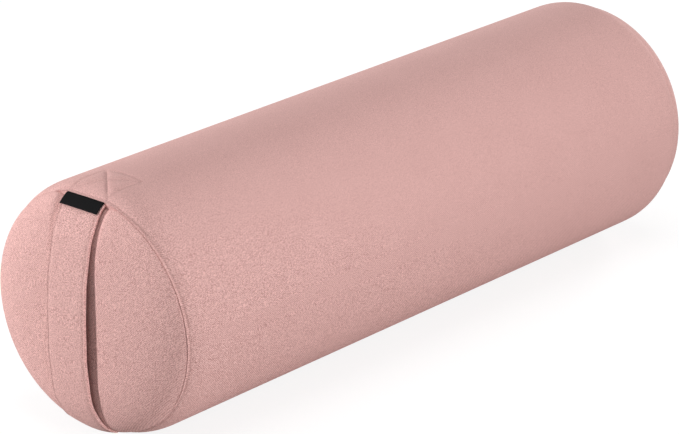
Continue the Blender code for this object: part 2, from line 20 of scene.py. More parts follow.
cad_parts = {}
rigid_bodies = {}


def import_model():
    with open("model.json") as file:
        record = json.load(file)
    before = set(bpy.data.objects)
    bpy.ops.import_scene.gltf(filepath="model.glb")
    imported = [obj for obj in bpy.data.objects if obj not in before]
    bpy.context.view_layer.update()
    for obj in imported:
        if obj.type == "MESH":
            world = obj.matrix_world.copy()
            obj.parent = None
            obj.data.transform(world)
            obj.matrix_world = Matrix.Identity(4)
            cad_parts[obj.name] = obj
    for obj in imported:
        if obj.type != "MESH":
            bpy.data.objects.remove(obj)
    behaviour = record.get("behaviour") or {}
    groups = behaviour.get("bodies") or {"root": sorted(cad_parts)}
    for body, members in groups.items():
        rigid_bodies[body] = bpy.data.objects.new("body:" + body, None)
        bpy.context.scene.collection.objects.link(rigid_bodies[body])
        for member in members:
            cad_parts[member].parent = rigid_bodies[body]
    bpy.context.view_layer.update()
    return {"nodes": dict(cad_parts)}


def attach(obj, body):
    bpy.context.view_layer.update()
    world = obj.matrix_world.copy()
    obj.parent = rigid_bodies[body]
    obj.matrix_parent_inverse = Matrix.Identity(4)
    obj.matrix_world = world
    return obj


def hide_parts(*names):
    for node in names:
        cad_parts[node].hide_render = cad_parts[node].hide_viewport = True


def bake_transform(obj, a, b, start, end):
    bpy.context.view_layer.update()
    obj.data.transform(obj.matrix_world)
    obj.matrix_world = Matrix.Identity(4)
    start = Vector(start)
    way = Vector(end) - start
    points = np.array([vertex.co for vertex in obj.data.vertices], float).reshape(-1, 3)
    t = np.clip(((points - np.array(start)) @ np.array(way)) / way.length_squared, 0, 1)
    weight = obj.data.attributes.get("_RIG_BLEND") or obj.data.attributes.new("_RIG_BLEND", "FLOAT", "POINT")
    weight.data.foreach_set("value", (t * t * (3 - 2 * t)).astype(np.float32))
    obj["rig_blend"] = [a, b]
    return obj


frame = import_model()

CENTRE = Vector((0.0047686, 0.0, 0.1072687))
BOLSTER = "bolster"
HANDLE = "handle"
# Lengths that only guard a division or a weld
NOTHING = 1e-9
TINY = 1e-6
HAIR = 1e-5
WELD = 2e-5

log = logging.getLogger("yoga_bolster")

Piece = bpy.types.Object
Points = np.ndarray
Material = bpy.types.Material
Tree = bpy.types.NodeTree
Socket = bpy.types.NodeSocket


# Small helpers


def linear(hex_colour: str) -> tuple[float, float, float, float]:
    """Turns an sRGB hex value into a linear colour.

    Args:
        hex_colour: The colour as "#RRGGBB".

    Returns:
        Linear red, green, blue and an alpha of 1.
    """
    channels = [int(hex_colour[i : i + 2], 16) / 255 for i in (1, 3, 5)]
    red, green, blue = (c / 12.92 if c <= 0.04045 else ((c + 0.055) / 1.055) ** 2.4 for c in channels)
    return red, green, blue, 1.0


def only(piece: Piece) -> None:
    """Selects this piece alone and makes it the active one."""
    bpy.ops.object.select_all(action="DESELECT")
    piece.select_set(True)
    bpy.context.view_layer.objects.active = piece


@contextmanager
def editing(piece: Piece, kind: str = "VERT") -> Iterator[None]:
    """Holds a piece in edit mode with nothing selected.

    Args:
        piece: The piece to edit.
        kind: VERT, EDGE or FACE, for what is selected.
    """
    only(piece)
    bpy.ops.object.mode_set(mode="EDIT")
    bpy.ops.mesh.select_mode(type=kind)
    bpy.ops.mesh.select_all(action="DESELECT")
    yield
    bpy.ops.object.mode_set(mode="OBJECT")


def named(name: str) -> Piece:
    """Names the piece that was added last, and its mesh, and returns it."""
    piece = bpy.context.active_object
    piece.name = name
    piece.data.name = name
    return piece


def finish_with(piece: Piece, kind: str, **settings: object) -> None:
    """Adds a modifier to a piece and applies it.

    Args:
        piece: The piece to change.
        kind: The modifier's type.
        **settings: The modifier's own settings.
    """
    only(piece)
    modifier = piece.modifiers.new(kind.lower(), kind)
    for setting, value in settings.items():
        setattr(modifier, setting, value)
    bpy.ops.object.modifier_apply(modifier=modifier.name)


def points_of(piece: Piece) -> Points:
    """The piece's vertices as an array of one row each."""
    points = np.empty(len(piece.data.vertices) * 3)
    piece.data.vertices.foreach_get("co", points)
    return points.reshape(-1, 3)


def move_points(piece: Piece, points: Points) -> None:
    """Puts the piece's vertices at new points."""
    piece.data.vertices.foreach_set("co", np.ascontiguousarray(points).ravel())
    piece.data.update()


def keep_value(piece: Piece, name: str, values: Points) -> None:
    """Stores one number a vertex as an attribute of the piece."""
    attribute = piece.data.attributes.new(name, "FLOAT", "POINT")
    attribute.data.foreach_set("value", np.asarray(values, np.float32))


def value_of(piece: Piece, name: str) -> Points:
    """Reads a stored attribute of the piece, one number a vertex."""
    values = np.empty(len(piece.data.vertices), np.float32)
    piece.data.attributes[name].data.foreach_get("value", values)
    return values


def lay_cloth(piece: Piece, places: Points, around: float = 0.0) -> None:
    """Gives a piece the UV map that its weave follows, in metres along the cloth.

    Args:
        piece: The piece of cloth.
        places: Where each vertex lies on the flat cloth, two numbers each.
        around: The length after which the first number starts again, or 0.
    """
    layer = piece.data.uv_layers.new(name="cloth")
    corners = np.empty(len(piece.data.loops), int)
    piece.data.loops.foreach_get("vertex_index", corners)
    laid = np.asarray(places, float)[corners]
    if around:
        starts = np.array([face.loop_start for face in piece.data.polygons])
        counts = np.array([face.loop_total for face in piece.data.polygons])
        highest = np.maximum.reduceat(laid[:, 0], starts)
        highest = np.repeat(highest, counts)
        laid[highest - laid[:, 0] > around / 2, 0] += around
    layer.data.foreach_set("uv", laid.ravel())


def place(piece: Piece, finish: Material, angle: float) -> None:
    """Moves a finished mesh to its place in the shared frame, and gives it its material and shading.

    Args:
        piece: The piece, made about the bolster's axis.
        finish: Its material.
        angle: Edges under this angle, in degrees, are shaded smooth.
    """
    piece.data.transform(Matrix.Translation(CENTRE))
    piece.data.materials.clear()
    piece.data.materials.append(finish)
    only(piece)
    bpy.ops.object.shade_smooth_by_angle(angle=math.radians(angle), keep_sharp_edges=False)


def dress(
    piece: Piece,
    material: Material,
    slot: str,
    *nodes: str,
    angle: float = 60.0,
    fill: float = 0.0,
    hold: Optional[Callable[[Piece], None]] = None,
) -> None:
    """Places a finished piece, ties it to its body and hides the solids that it stands for.

    Args:
        piece: The piece, made about the bolster's axis.
        material: Its material.
        slot: The name of the record's material slot. Not used.
        *nodes: The solids that it stands for.
        angle: Edges under this angle, in degrees, are shaded smooth.
        fill: How full a padded piece is, or 0 where it isn't padded. Not used.
        hold: Ties the piece to its bodies. Without it the piece rides on the bolster.
    """
    place(piece, material, angle)
    if hold:
        hold(piece)
    else:
        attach(piece, BOLSTER)
    if nodes:
        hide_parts(*nodes)
    log.info("%s: %d faces", piece.name, len(piece.data.polygons))


def turn_over(piece: Piece) -> None:
    """Turns every face of a piece over."""
    with editing(piece):
        bpy.ops.mesh.select_all(action="SELECT")
        bpy.ops.mesh.flip_normals()


def lathe(name: str, outline: Sequence[tuple[float, float]], steps: int) -> Piece:
    """Spins an outline round the bolster's axis.

    Args:
        name: The new piece's name.
        outline: Points of (x, radius) from one end to the other.
        steps: How many steps make the full turn.

    Returns:
        The piece, closed at its poles, with its faces outwards.
    """
    bpy.ops.object.select_all(action="DESELECT")
    bpy.ops.mesh.primitive_plane_add(size=0.001)
    piece = named(name)
    with editing(piece):
        bpy.ops.mesh.select_all(action="SELECT")
        bpy.ops.mesh.merge(type="CENTER")
        here = outline[0]
        bpy.ops.transform.translate(value=(here[0], 0, here[1]))
        for there in outline[1:]:
            step = (there[0] - here[0], 0, there[1] - here[1])
            bpy.ops.mesh.extrude_vertices_move(TRANSFORM_OT_translate={"value": step})
            here = there
        bpy.ops.mesh.select_all(action="SELECT")
        bpy.ops.mesh.spin(steps=steps, angle=math.tau, center=(0, 0, 0), axis=(1, 0, 0))
        bpy.ops.mesh.select_all(action="SELECT")
        bpy.ops.mesh.remove_doubles(threshold=WELD)
        bpy.ops.mesh.normals_make_consistent(inside=False)
    return piece


# The bolster's form, worked out from the photograph


def smooth_path(points: Sequence[Vector], spacing: float = 0.001) -> list[Vector]:
    """Points on a smooth curve through the given ones.

    Args:
        points: Points that the curve passes through.
        spacing: About how far apart the new points lie.

    Returns:
        The new points, from the first given one to the last.
    """
    last = len(points) - 1
    ways = [(points[min(i + 1, last)] - points[max(i - 1, 0)]).normalized() for i in range(last + 1)]
    path = []
    for start, end, leaving, arriving in zip(points, points[1:], ways, ways[1:]):
        third = (end - start).length / 3
        count = max(2, round((end - start).length / spacing)) + 1
        bends = (start + leaving * third, end - arriving * third)
        path += geometry.interpolate_bezier(start, *bends, end, count)[:-1]
    return path + [points[-1]]


@dataclass
class HandleRoute:
    """Where the carry handle runs, from its upper tail over the end to its lower tail.

    Its path is two-dimensional: how far out of the end's seam, and how high above the axis.
    """

    width: float = 0.042
    thickness: float = 0.0025
    seam_radius: float = 0.1025
    lean: float = 0.0542
    half_length: float = 0.324
    tail_length: float = 0.036
    flat_tail_radius: float = 0.0993
    round_tail_radius: float = 0.1009
    tail_rise: float = 0.0042
    tail_middle: float = 0.026
    tail_flat: float = 0.0166
    seam_flat: float = 0.0065
    seam_step: float = 0.0003
    bend_start: float = 0.55
    bend_end: float = 0.95
    over_end: tuple[tuple[float, float], ...] = (
        (0.0048, 0.0964),
        (0.0094, 0.0920),
        (0.0160, 0.0820),
        (0.0228, 0.0677),
        (0.0309, 0.0338),
        (0.0346, 0.0000),
        (0.0362, -0.0338),
        (0.0334, -0.0677),
        (0.0276, -0.0820),
        (0.0206, -0.0922),
        (0.0150, -0.0974),
        (0.0102, -0.1008),
        (0.0050, -0.1024),
    )
    path: list[Vector] = field(init=False)
    runs: list[float] = field(init=False)

    def __post_init__(self) -> None:
        """Works out the smooth path and the run to each of its points."""
        upper = self.tail(self.flat_tail_radius)
        lower = [(out, -height) for out, height in reversed(self.tail(self.round_tail_radius))]
        self.path = smooth_path([Vector(point) for point in (*upper, *self.over_end, *lower)])
        self.runs = [0.0]
        for here, there in zip(self.path, self.path[1:]):
            self.runs.append(self.runs[-1] + (there - here).length)

    def tail(self, radius: float) -> list[tuple[float, float]]:
        """The part sewn inside the body, from its free end to the seam, at a distance from the axis."""
        rise = self.tail_rise
        return [
            (-self.tail_length, radius + rise),
            (-self.tail_middle, radius + rise / 2),
            (-self.tail_flat, radius),
            (-self.seam_flat, radius),
            (self.seam_step, radius - self.seam_step),
        ]

    @property
    def length(self) -> float:
        """The whole run, tails included."""
        return self.runs[-1]

    def run_where(self, out: float, upper: bool) -> float:
        """The run at which the path leaves the seam by some distance, at its top or its bottom."""
        pairs = zip(self.runs, self.path)
        found = [run for run, point in pairs if point.x < out and (point.y > 0) == upper]
        return max(found) if upper else min(found)

    def at(self, run: float) -> tuple[Vector, Vector]:
        """The path's point at a run, and the way inwards from it."""
        index = min(max(int(np.searchsorted(self.runs, run)) - 1, 0), len(self.path) - 2)
        start = self.path[index]
        way = (self.path[index + 1] - start).normalized()
        return start + way * (run - self.runs[index]), Vector((way.y, -way.x))

    def point(self, run: float, across: float, depth: float = 0.0) -> Vector:
        """A point of the handle about the bolster's axis.

        Args:
            run: How far along the handle.
            across: How far to the side of its middle.
            depth: How far under its outer face.

        Returns:
            The point, leant over with the end.
        """
        outer, inward = self.at(run)
        spot = outer + inward * depth
        sink = self.seam_radius - math.sqrt(self.seam_radius**2 - across**2)
        share = (-outer.y / self.seam_radius - self.bend_start) / (self.bend_end - self.bend_start)
        height = spot.y + sink * min(1.0, max(0.0, share))
        return Vector((-self.half_length - spot.x - self.lean * height, across, height))

    def underside(self) -> tuple[Points, Points]:
        """Heights from low to high, and how far out the handle's inner face is at each."""
        inner = []
        for run in self.runs:
            outer, inward = self.at(run)
            spot = outer + inward * self.thickness
            if not inner or spot.y < inner[-1].y:
                inner.append(spot)
        table = np.array([(spot.y, spot.x) for spot in reversed(inner)])
        return table[:, 0], table[:, 1]


@dataclass
class BolsterForm:
    """The stuffed cover's outside, about its own axis."""

    body_radius: float = 0.108
    seam_radius: float = 0.1025
    half_length: float = 0.324
    shoulder: float = 0.026
    far_shoulder: float = 0.016
    shoulder_power: float = 3.0
    crown_height: float = 0.0275
    crown_power: float = 4.5
    eased_power: float = 3.5
    top_ease: float = 0.3
    bottom_ease: float = 0.10
    side_power: float = 5.0
    side_ease: float = 0.8
    sag: float = 0.247
    lean: float = 0.0542
    lean_length: float = 0.2
    stand_off: float = 0.0009
    pressed_border: float = 0.004
    press_softness: float = 0.0015
    rim_width: float = 0.004
    flat_reach: float = 0.030
    route: HandleRoute = field(default_factory=HandleRoute)

    def radius_at(self, inside: Points) -> Points:
        """The body's radius at distances inside the handle's seam."""
        inside = np.asarray(inside, float)
        far = 2 * self.half_length - inside
        share = np.minimum(1.0, np.minimum(inside / self.shoulder, far / self.far_shoulder))
        rise = self.body_radius - self.seam_radius
        return self.seam_radius + rise * (1 - (1 - share) ** self.shoulder_power)

    def flatten(self, away: Points, y: Points, z: Points) -> Points:
        """Heights once the stiff handle has pulled the round seam flat across its own width.

        Args:
            away: How far each point is from the handle's seam.
            y: Places across.
            z: Heights above the axis.

        Returns:
            The new heights, changed at the top only: the seam stays round at the bottom.
        """
        half = self.route.width / 2
        edge = math.sqrt(self.seam_radius**2 - half**2)
        across = np.minimum(np.abs(y), half)
        drop = np.sqrt(self.seam_radius**2 - across**2) - edge
        near = np.clip(1 - away / self.flat_reach, 0.0, 1.0)
        return z - drop * near**2 * (3 - 2 * near) * (z > self.seam_radius / 2)

    def crown(self, radius: Points) -> Points:
        """How far an evenly stuffed end stands out of its seam at radii."""
        share = np.minimum(1.0, np.asarray(radius, float) / self.seam_radius)
        return self.crown_height * np.sqrt(1 - share**self.crown_power)

    def handle_crown(self, y: Points, z: Points) -> Points:
        """How far the handle's end stands out: it sags, eases off and is pressed in by the handle.

        Args:
            y: Places across.
            z: Heights above the axis.

        Returns:
            The distance out of the seam's plane at each.
        """
        radius = np.maximum(np.hypot(y, z), TINY)
        share = np.minimum(1.0, radius / self.seam_radius)
        ease = (z / radius) ** 2 * np.where(z > 0, self.top_ease, self.bottom_ease)
        full = self.crown(radius)
        height = full + ease * (self.crown_height * (1 - share**self.eased_power) - full)
        side = np.minimum(y / radius, 0.0) ** 2 * self.side_ease
        height += side * (self.crown_height * (1 - share**self.side_power) - full)
        height *= 1 - self.sag * z / self.seam_radius
        heights, room = self.route.underside()
        beside = np.maximum(0.0, np.abs(y) - self.route.width / 2 - self.pressed_border)
        limit = np.interp(z, heights, room) - self.stand_off + beside
        softness = self.press_softness
        return limit - softness * np.logaddexp(0.0, (limit - height) / softness)

    def settle(self, points: Points) -> Points:
        """Moves points of the evenly stuffed skin to where they lie once the handle's end has settled.

        Args:
            points: Points as the lathe makes them.

        Returns:
            The settled points.
        """
        x, y, z = points.T.copy()
        out = -self.half_length - x
        end = out > HAIR
        settled = self.handle_crown(y, z) + out - self.crown(np.hypot(y, z))
        rim = np.clip((self.seam_radius - np.hypot(y, z)) / self.rim_width, 0.0, 1.0)
        out = np.where(end, np.where(settled < 0, settled * rim, settled), out)
        away = np.where(end, self.seam_radius - np.hypot(y, z), -out)
        z = self.flatten(np.maximum(away, 0.0), y, z)
        share = np.clip(1 + out / self.lean_length, 0.0, 1.0)
        return np.column_stack((-self.half_length - out - self.lean * z * share, y, z))

    def on_body(self, inside: float, across: float, lift: float = 0.0) -> Vector:
        """A point on the body's top, a distance inside the handle's seam and across from the middle."""
        radius = float(self.radius_at(np.array(inside)))
        turn = across / radius
        high = radius + lift
        raw = np.array([[-self.half_length + inside, high * math.sin(turn), high * math.cos(turn)]])
        return Vector(self.settle(raw)[0])


# Finishes


class Weave(Enum):
    """How a cloth's yarns show: the wave's direction, and its period at a scale of 1."""

    TWILL = ("DIAGONAL", 0.4443)
    RIB_ALONG = ("X", 0.31416)
    RIB_ACROSS = ("Y", 0.31416)


def feed(tree: Tree, node: bpy.types.Node, inputs: dict[object, object]) -> None:
    """Feeds a node's inputs.

    Args:
        tree: The node tree.
        node: The node.
        inputs: What each input gets: a socket is linked, and anything else is its value.
    """
    for name, value in inputs.items():
        if isinstance(value, bpy.types.NodeSocket):
            tree.links.new(value, node.inputs[name])
        else:
            node.inputs[name].default_value = value


def add_node(
    tree: Tree,
    kind: str,
    inputs: dict[object, object],
    output: object = 0,
    **settings: object,
) -> Optional[Socket]:
    """Adds a node.

    Args:
        tree: The node tree.
        kind: The node's type.
        inputs: What each input gets, a socket or a value.
        output: The output that is wanted.
        **settings: The node's own settings.

    Returns:
        The wanted output, or None from a node that has no outputs.
    """
    node = tree.nodes.new(kind)
    for setting, value in settings.items():
        setattr(node, setting, value)
    feed(tree, node, inputs)
    return node.outputs[output] if node.outputs else None


def calculate(tree: Tree, operation: str, *inputs: object, **settings: object) -> Socket:
    """Adds a Math node with its inputs in their order."""
    return add_node(tree, "ShaderNodeMath", dict(enumerate(inputs)), operation=operation, **settings)


def noise(tree: Tree, vector: Socket, size: float, detail: float, roughness: float = 0.5) -> Socket:
    """Adds a noise whose patches are about as large as the size, in metres."""
    inputs = {"Vector": vector, "Scale": 1 / size, "Detail": detail, "Roughness": roughness}
    return add_node(tree, "ShaderNodeTexNoise", inputs, "Fac")


def waves(
    tree: Tree, vector: Socket, scale: float, distortion: float, detail_scale: float, direction: str
) -> Socket:
    """Adds bands that run one way and waver a little."""
    inputs = {"Vector": vector, "Scale": scale, "Distortion": distortion, "Detail": 1.0}
    inputs["Detail Scale"] = detail_scale
    return add_node(tree, "ShaderNodeTexWave", inputs, "Fac", bands_direction=direction)


def between_tones(tree: Tree, share: Socket, shade: str, colour: str) -> Socket:
    """Adds a mix from a darker sRGB hex value to a lighter one."""
    inputs = {0: share, 6: linear(shade), 7: linear(colour)}
    return add_node(tree, "ShaderNodeMix", inputs, 2, data_type="RGBA")


def relief(tree: Tree, height: Socket, depth: float, under: Optional[Socket] = None) -> Socket:
    """Adds a bump of some depth in metres, on another bump if there is one."""
    inputs = {"Height": height, "Strength": 1.0, "Distance": depth}
    if under is not None:
        inputs["Normal"] = under
    return add_node(tree, "ShaderNodeBump", inputs)


def new_material(name: str) -> tuple[Material, Tree, bpy.types.Node]:
    """Makes a material and returns it with its node tree and its Principled shader."""
    material = bpy.data.materials.new(name)
    material.use_nodes = True
    tree = material.node_tree
    return material, tree, tree.nodes["Principled BSDF"]


@dataclass(frozen=True)
class ClothFinish:
    """A woven cloth, drawn on the piece's own cloth map in metres."""

    name: str
    colour: str
    shade: str
    roughness: float = 0.9
    specular: float = 0.2
    sheen: float = 0.0
    sheen_tint: str = "#FFFFFF"
    weave: Weave = Weave.TWILL
    yarn: float = 0.0012
    yarn_depth: float = 0.0001
    nap: float = 0.0011
    nap_depth: float = 0.0002
    cloud: float = 0.03
    grain_share: float = 1.0
    cloud_share: float = 0.3
    # How much grain is left where it is faded as painted light, and where along x + 3z the fade runs
    smooth_share: float = 1.0
    smooth_from: float = 0.10
    smooth_to: float = 0.38
    gather_pitch: float = 0.0
    gather_depth: float = 0.0
    yarn_share: float = 0.12
    grain_middle: float = 0.56
    sheen_roughness: float = 0.45

    def make(self) -> Material:
        """Builds the cloth's nodes: yarns, brushed nap, soft clouds, and gathers beside a seam."""
        material, tree, shader = new_material(self.name)
        cloth = add_node(tree, "ShaderNodeUVMap", {}, "UV", uv_map="cloth")
        spot = add_node(tree, "ShaderNodeTexCoord", {}, "Object")
        direction, period = self.weave.value
        yarns = waves(tree, cloth, period / self.yarn, 1.2, 2.0, direction)
        nap = noise(tree, spot, self.nap, 1.0)
        clouds = noise(tree, cloth, self.cloud, 3.0, 0.55)
        grain = calculate(tree, "MULTIPLY_ADD", yarns, self.yarn_share, nap)
        grain = calculate(tree, "SUBTRACT", grain, self.grain_middle)
        # The grain is faded on top and towards the far end: painted light, in colour and bump
        grain = calculate(tree, "MULTIPLY", grain, self.painted_light_grain_share(tree, spot))
        tone = calculate(tree, "MULTIPLY_ADD", grain, self.grain_share, 0.5 - self.cloud_share / 2)
        tone = calculate(tree, "MULTIPLY_ADD", clouds, self.cloud_share, tone, use_clamp=True)
        bump = relief(tree, grain, self.nap_depth, relief(tree, yarns, self.yarn_depth))
        if self.gather_depth:
            bump = self.gathers(tree, cloth, bump)
        inputs = {
            "Base Color": between_tones(tree, tone, self.shade, self.colour),
            "Normal": bump,
            "Roughness": self.roughness,
            "Specular IOR Level": self.specular,
            "Sheen Weight": self.sheen,
            "Sheen Roughness": self.sheen_roughness,
            "Sheen Tint": linear(self.sheen_tint),
        }
        feed(tree, shader, inputs)
        return material

    def painted_light_grain_share(self, tree: Tree, spot: Socket) -> Socket:
        """How strongly the grain shows, as painted light: fully at the carried end, fainter towards the
        other and on top, where the lit cloth shows less grain, in colour and in bump.
        """
        inputs = {0: spot, 1: (1.0, 0.0, 3.0)}
        along = add_node(tree, "ShaderNodeVectorMath", inputs, "Value", operation="DOT_PRODUCT")
        reach = {"Value": along, "From Min": self.smooth_from, "From Max": self.smooth_to}
        shares = {"To Min": 1.0, "To Max": self.smooth_share}
        kind = "ShaderNodeMapRange"
        return add_node(tree, kind, reach | shares, "Result", interpolation_type="SMOOTHSTEP")

    def gathers(self, tree: Tree, cloth: Socket, bump: Socket) -> Socket:
        """Adds the small puckers that the stitches draw beside a seam.

        Args:
            tree: The material's nodes.
            cloth: The cloth map's socket.
            bump: The bump so far.

        Returns:
            The bump with the puckers.
        """
        near = add_node(tree, "ShaderNodeAttribute", {}, "Fac", attribute_name="near_seam")
        direction, period = Weave.RIB_ALONG.value
        pleats = waves(tree, cloth, period / self.gather_pitch, 0.8, 1.5, direction)
        return relief(tree, calculate(tree, "MULTIPLY", near, pleats), self.gather_depth, bump)


@dataclass(frozen=True)
class LoftFinish:
    """Wadding or foam: clumps or cells on Object coordinates."""

    name: str
    colour: str
    shade: str
    cell: float
    depth: float
    sheen: float = 0.0
    roughness: float = 0.95
    fluff_size: float = 2.5

    def make(self) -> Material:
        """Builds the clumps from a cell pattern broken up by noise."""
        material, tree, shader = new_material(self.name)
        spot = add_node(tree, "ShaderNodeTexCoord", {}, "Object")
        inputs = {"Vector": spot, "Scale": 1 / self.cell}
        cells = add_node(tree, "ShaderNodeTexVoronoi", inputs, "Distance")
        fluff = noise(tree, spot, self.cell * self.fluff_size, 4.0)
        height = calculate(tree, "MULTIPLY", cells, fluff, use_clamp=True)
        inputs = {
            "Base Color": between_tones(tree, height, self.shade, self.colour),
            "Normal": relief(tree, height, self.depth),
            "Roughness": self.roughness,
            "Sheen Weight": self.sheen,
        }
        feed(tree, shader, inputs)
        return material


@dataclass(frozen=True)
class HardFinish:
    """Plated metal or moulded nylon, with fine handling marks on Object coordinates."""

    name: str
    colour: str
    shade: str
    roughness: float
    metallic: float = 0.0
    mark: float = 0.002
    mark_depth: float = 0.00002
    roughness_spread: float = 0.2

    def make(self) -> Material:
        """Builds the finish from one noise that drives tone, roughness and a faint bump."""
        material, tree, shader = new_material(self.name)
        spot = add_node(tree, "ShaderNodeTexCoord", {}, "Object")
        marks = noise(tree, spot, self.mark, 4.0)
        spread = self.roughness_spread
        low = self.roughness - spread / 2
        inputs = {
            "Base Color": between_tones(tree, marks, self.shade, self.colour),
            "Roughness": calculate(tree, "MULTIPLY_ADD", marks, spread, low),
            "Normal": relief(tree, marks, self.mark_depth),
            "Metallic": self.metallic,
        }
        feed(tree, shader, inputs)
        return material


# Brushed cotton twill, dyed dusty rose and sueded: a matt face with a short nap, which lights up
# where it is seen along its edge. Its real twill is 0.5 mm, drawn at 1.3 mm so that it shows
COVER_COTTON = ClothFinish(
    name="brushed cotton twill",
    colour="#F2C5C0",
    shade="#B68782",
    roughness=0.92,
    sheen=0.08,
    sheen_tint="#FFE9E4",
    yarn=0.0013,
    yarn_depth=0.00006,
    nap=0.00065,
    nap_depth=0.00015,
    cloud=0.05,
    grain_share=6.0,
    cloud_share=0.12,
    # The cover's grain keeps a fifth of its contrast on top and at the far end: painted light
    smooth_share=0.2,
    gather_pitch=0.0042,
    gather_depth=0.00012,
)
# The same cloth folded and pressed flat for the handle, drawn at 1.2 mm
HANDLE_COTTON = ClothFinish(
    name="pressed cotton twill",
    colour="#F2C5C0",
    shade="#B68782",
    roughness=0.92,
    sheen=0.08,
    sheen_tint="#FFE9E4",
    yarn=0.0012,
    yarn_depth=0.00007,
    nap=0.00065,
    nap_depth=0.00015,
    cloud=0.02,
    grain_share=6.0,
    cloud_share=0.12,
)
# Cotton webbing, flat woven: heavy ribs across
WEBBING = ClothFinish(
    name="cotton webbing",
    colour="#CFA09A",
    shade="#B98982",
    weave=Weave.RIB_ALONG,
    yarn=0.0016,
    yarn_depth=0.0003,
)
# Damask label, woven of fine polyester: near black, with a faint satin rib
LABEL_DAMASK = ClothFinish(
    name="black damask",
    colour="#121113",
    shade="#060606",
    roughness=0.7,
    specular=0.06,
    weave=Weave.RIB_ACROSS,
    yarn=0.0007,
    yarn_depth=0.00008,
    nap=0.0006,
    nap_depth=0.00004,
    grain_share=0.5,
)
# Spun polyester sewing thread, twisted: a slightly glossy line a shade lighter than the cloth
THREAD = ClothFinish(
    name="spun polyester thread",
    colour="#F1CFC9",
    shade="#DDB4AE",
    roughness=0.6,
    sheen=0.1,
    yarn=0.0006,
    yarn_depth=0.0001,
    nap=0.0008,
    nap_depth=0.00003,
)
# Woven polyester zip tape: tight ribs along its length
ZIP_TAPE = ClothFinish(
    name="woven polyester tape",
    colour="#CE9F99",
    shade="#B98A84",
    roughness=0.75,
    weave=Weave.RIB_ACROSS,
    yarn=0.0011,
    yarn_depth=0.0002,
    nap=0.0007,
    nap_depth=0.00006,
)
# Undyed plain cotton for the lining bag
LINING_COTTON = ClothFinish(
    name="undyed plain cotton",
    colour="#E4DCCB",
    shade="#CFC5B1",
    weave=Weave.RIB_ACROSS,
    yarn=0.0008,
    yarn_depth=0.0001,
)
# Dyed nylon monofilament: smooth, with a small bright gloss
ZIP_NYLON = HardFinish("dyed nylon monofilament", "#C9928C", "#B67F79", roughness=0.38)
# Nickel plate on a zinc casting: bright, slightly warm, with handling marks
NICKEL = HardFinish("nickel plated zinc", "#C9C5BE", "#B3AFA8", roughness=0.30, metallic=1.0)
# Lofted polyester wadding: white, soft clumps
WADDING = LoftFinish("lofted polyester wadding", "#F2F1EE", "#D9D7D2", cell=0.006, depth=0.002, sheen=0.3)
# Open-cell polyurethane foam, cut from a block: cream, with fine cells
FOAM = LoftFinish("open cell polyurethane foam", "#E9DFBC", "#CFC297", cell=0.0018, depth=0.0006)


# Sewing


@dataclass
class Stitching:
    """Rows of lockstitch: one stitch is modelled once and copied along each row."""

    name: str
    pitch: float = 0.0032
    length: float = 0.0023
    width: float = 0.00048
    height: float = 0.00036

    def one(self) -> Piece:
        """Models one stitch, a short thread whose ends dive into the cloth."""
        bpy.ops.object.select_all(action="DESELECT")
        scale = (self.length / 2, self.width / 2, self.height / 2)
        bpy.ops.mesh.primitive_uv_sphere_add(segments=8, ring_count=6, radius=1.0, scale=scale)
        stitch = named(self.name)
        only(stitch)
        bpy.ops.object.transform_apply(location=False, rotation=True, scale=True)
        points = points_of(stitch)
        points[:, 2] -= self.height * (points[:, 0] / (self.length / 2)) ** 2
        move_points(stitch, points)
        return stitch

    def sew(self, rows: Sequence[tuple[list[Vector], list[Vector]]]) -> Piece:
        """Sews the rows.

        Args:
            rows: Each row's points, close together, and the cloth's outward direction at each.

        Returns:
            One piece that holds every stitch.
        """
        stitch = self.one()
        copies = []
        for points, outward in rows:
            runs = np.concatenate(([0.0], np.cumsum([(b - a).length for a, b in zip(points, points[1:])])))
            spots, normals = np.array(points), np.array(outward)
            for start in np.arange(self.pitch / 2, runs[-1] - self.length, self.pitch):
                ends = [start, start + self.length, start + self.length / 2]
                back, front, middle = (
                    Vector([np.interp(run, runs, spots[:, axis]) for axis in range(3)]) for run in ends
                )
                up = Vector([np.interp(ends[2], runs, normals[:, axis]) for axis in range(3)])
                along = (front - back).normalized()
                up = (up - along * up.dot(along)).normalized()
                turn = Matrix((along, up.cross(along), up)).transposed().to_4x4()
                copy = stitch.copy()
                copy.data = stitch.data.copy()
                copy.data.transform(Matrix.Translation(middle) @ turn)
                bpy.context.scene.collection.objects.link(copy)
                copies.append(copy)
        bpy.data.objects.remove(stitch)
        bpy.ops.object.select_all(action="DESELECT")
        for copy in copies:
            copy.select_set(True)
        bpy.context.view_layer.objects.active = copies[0]
        bpy.ops.object.join()
        sewn = named(self.name)
        corners = points_of(sewn)
        lay_cloth(sewn, corners[:, :2] + corners[:, 2:])
        return sewn


# The cover


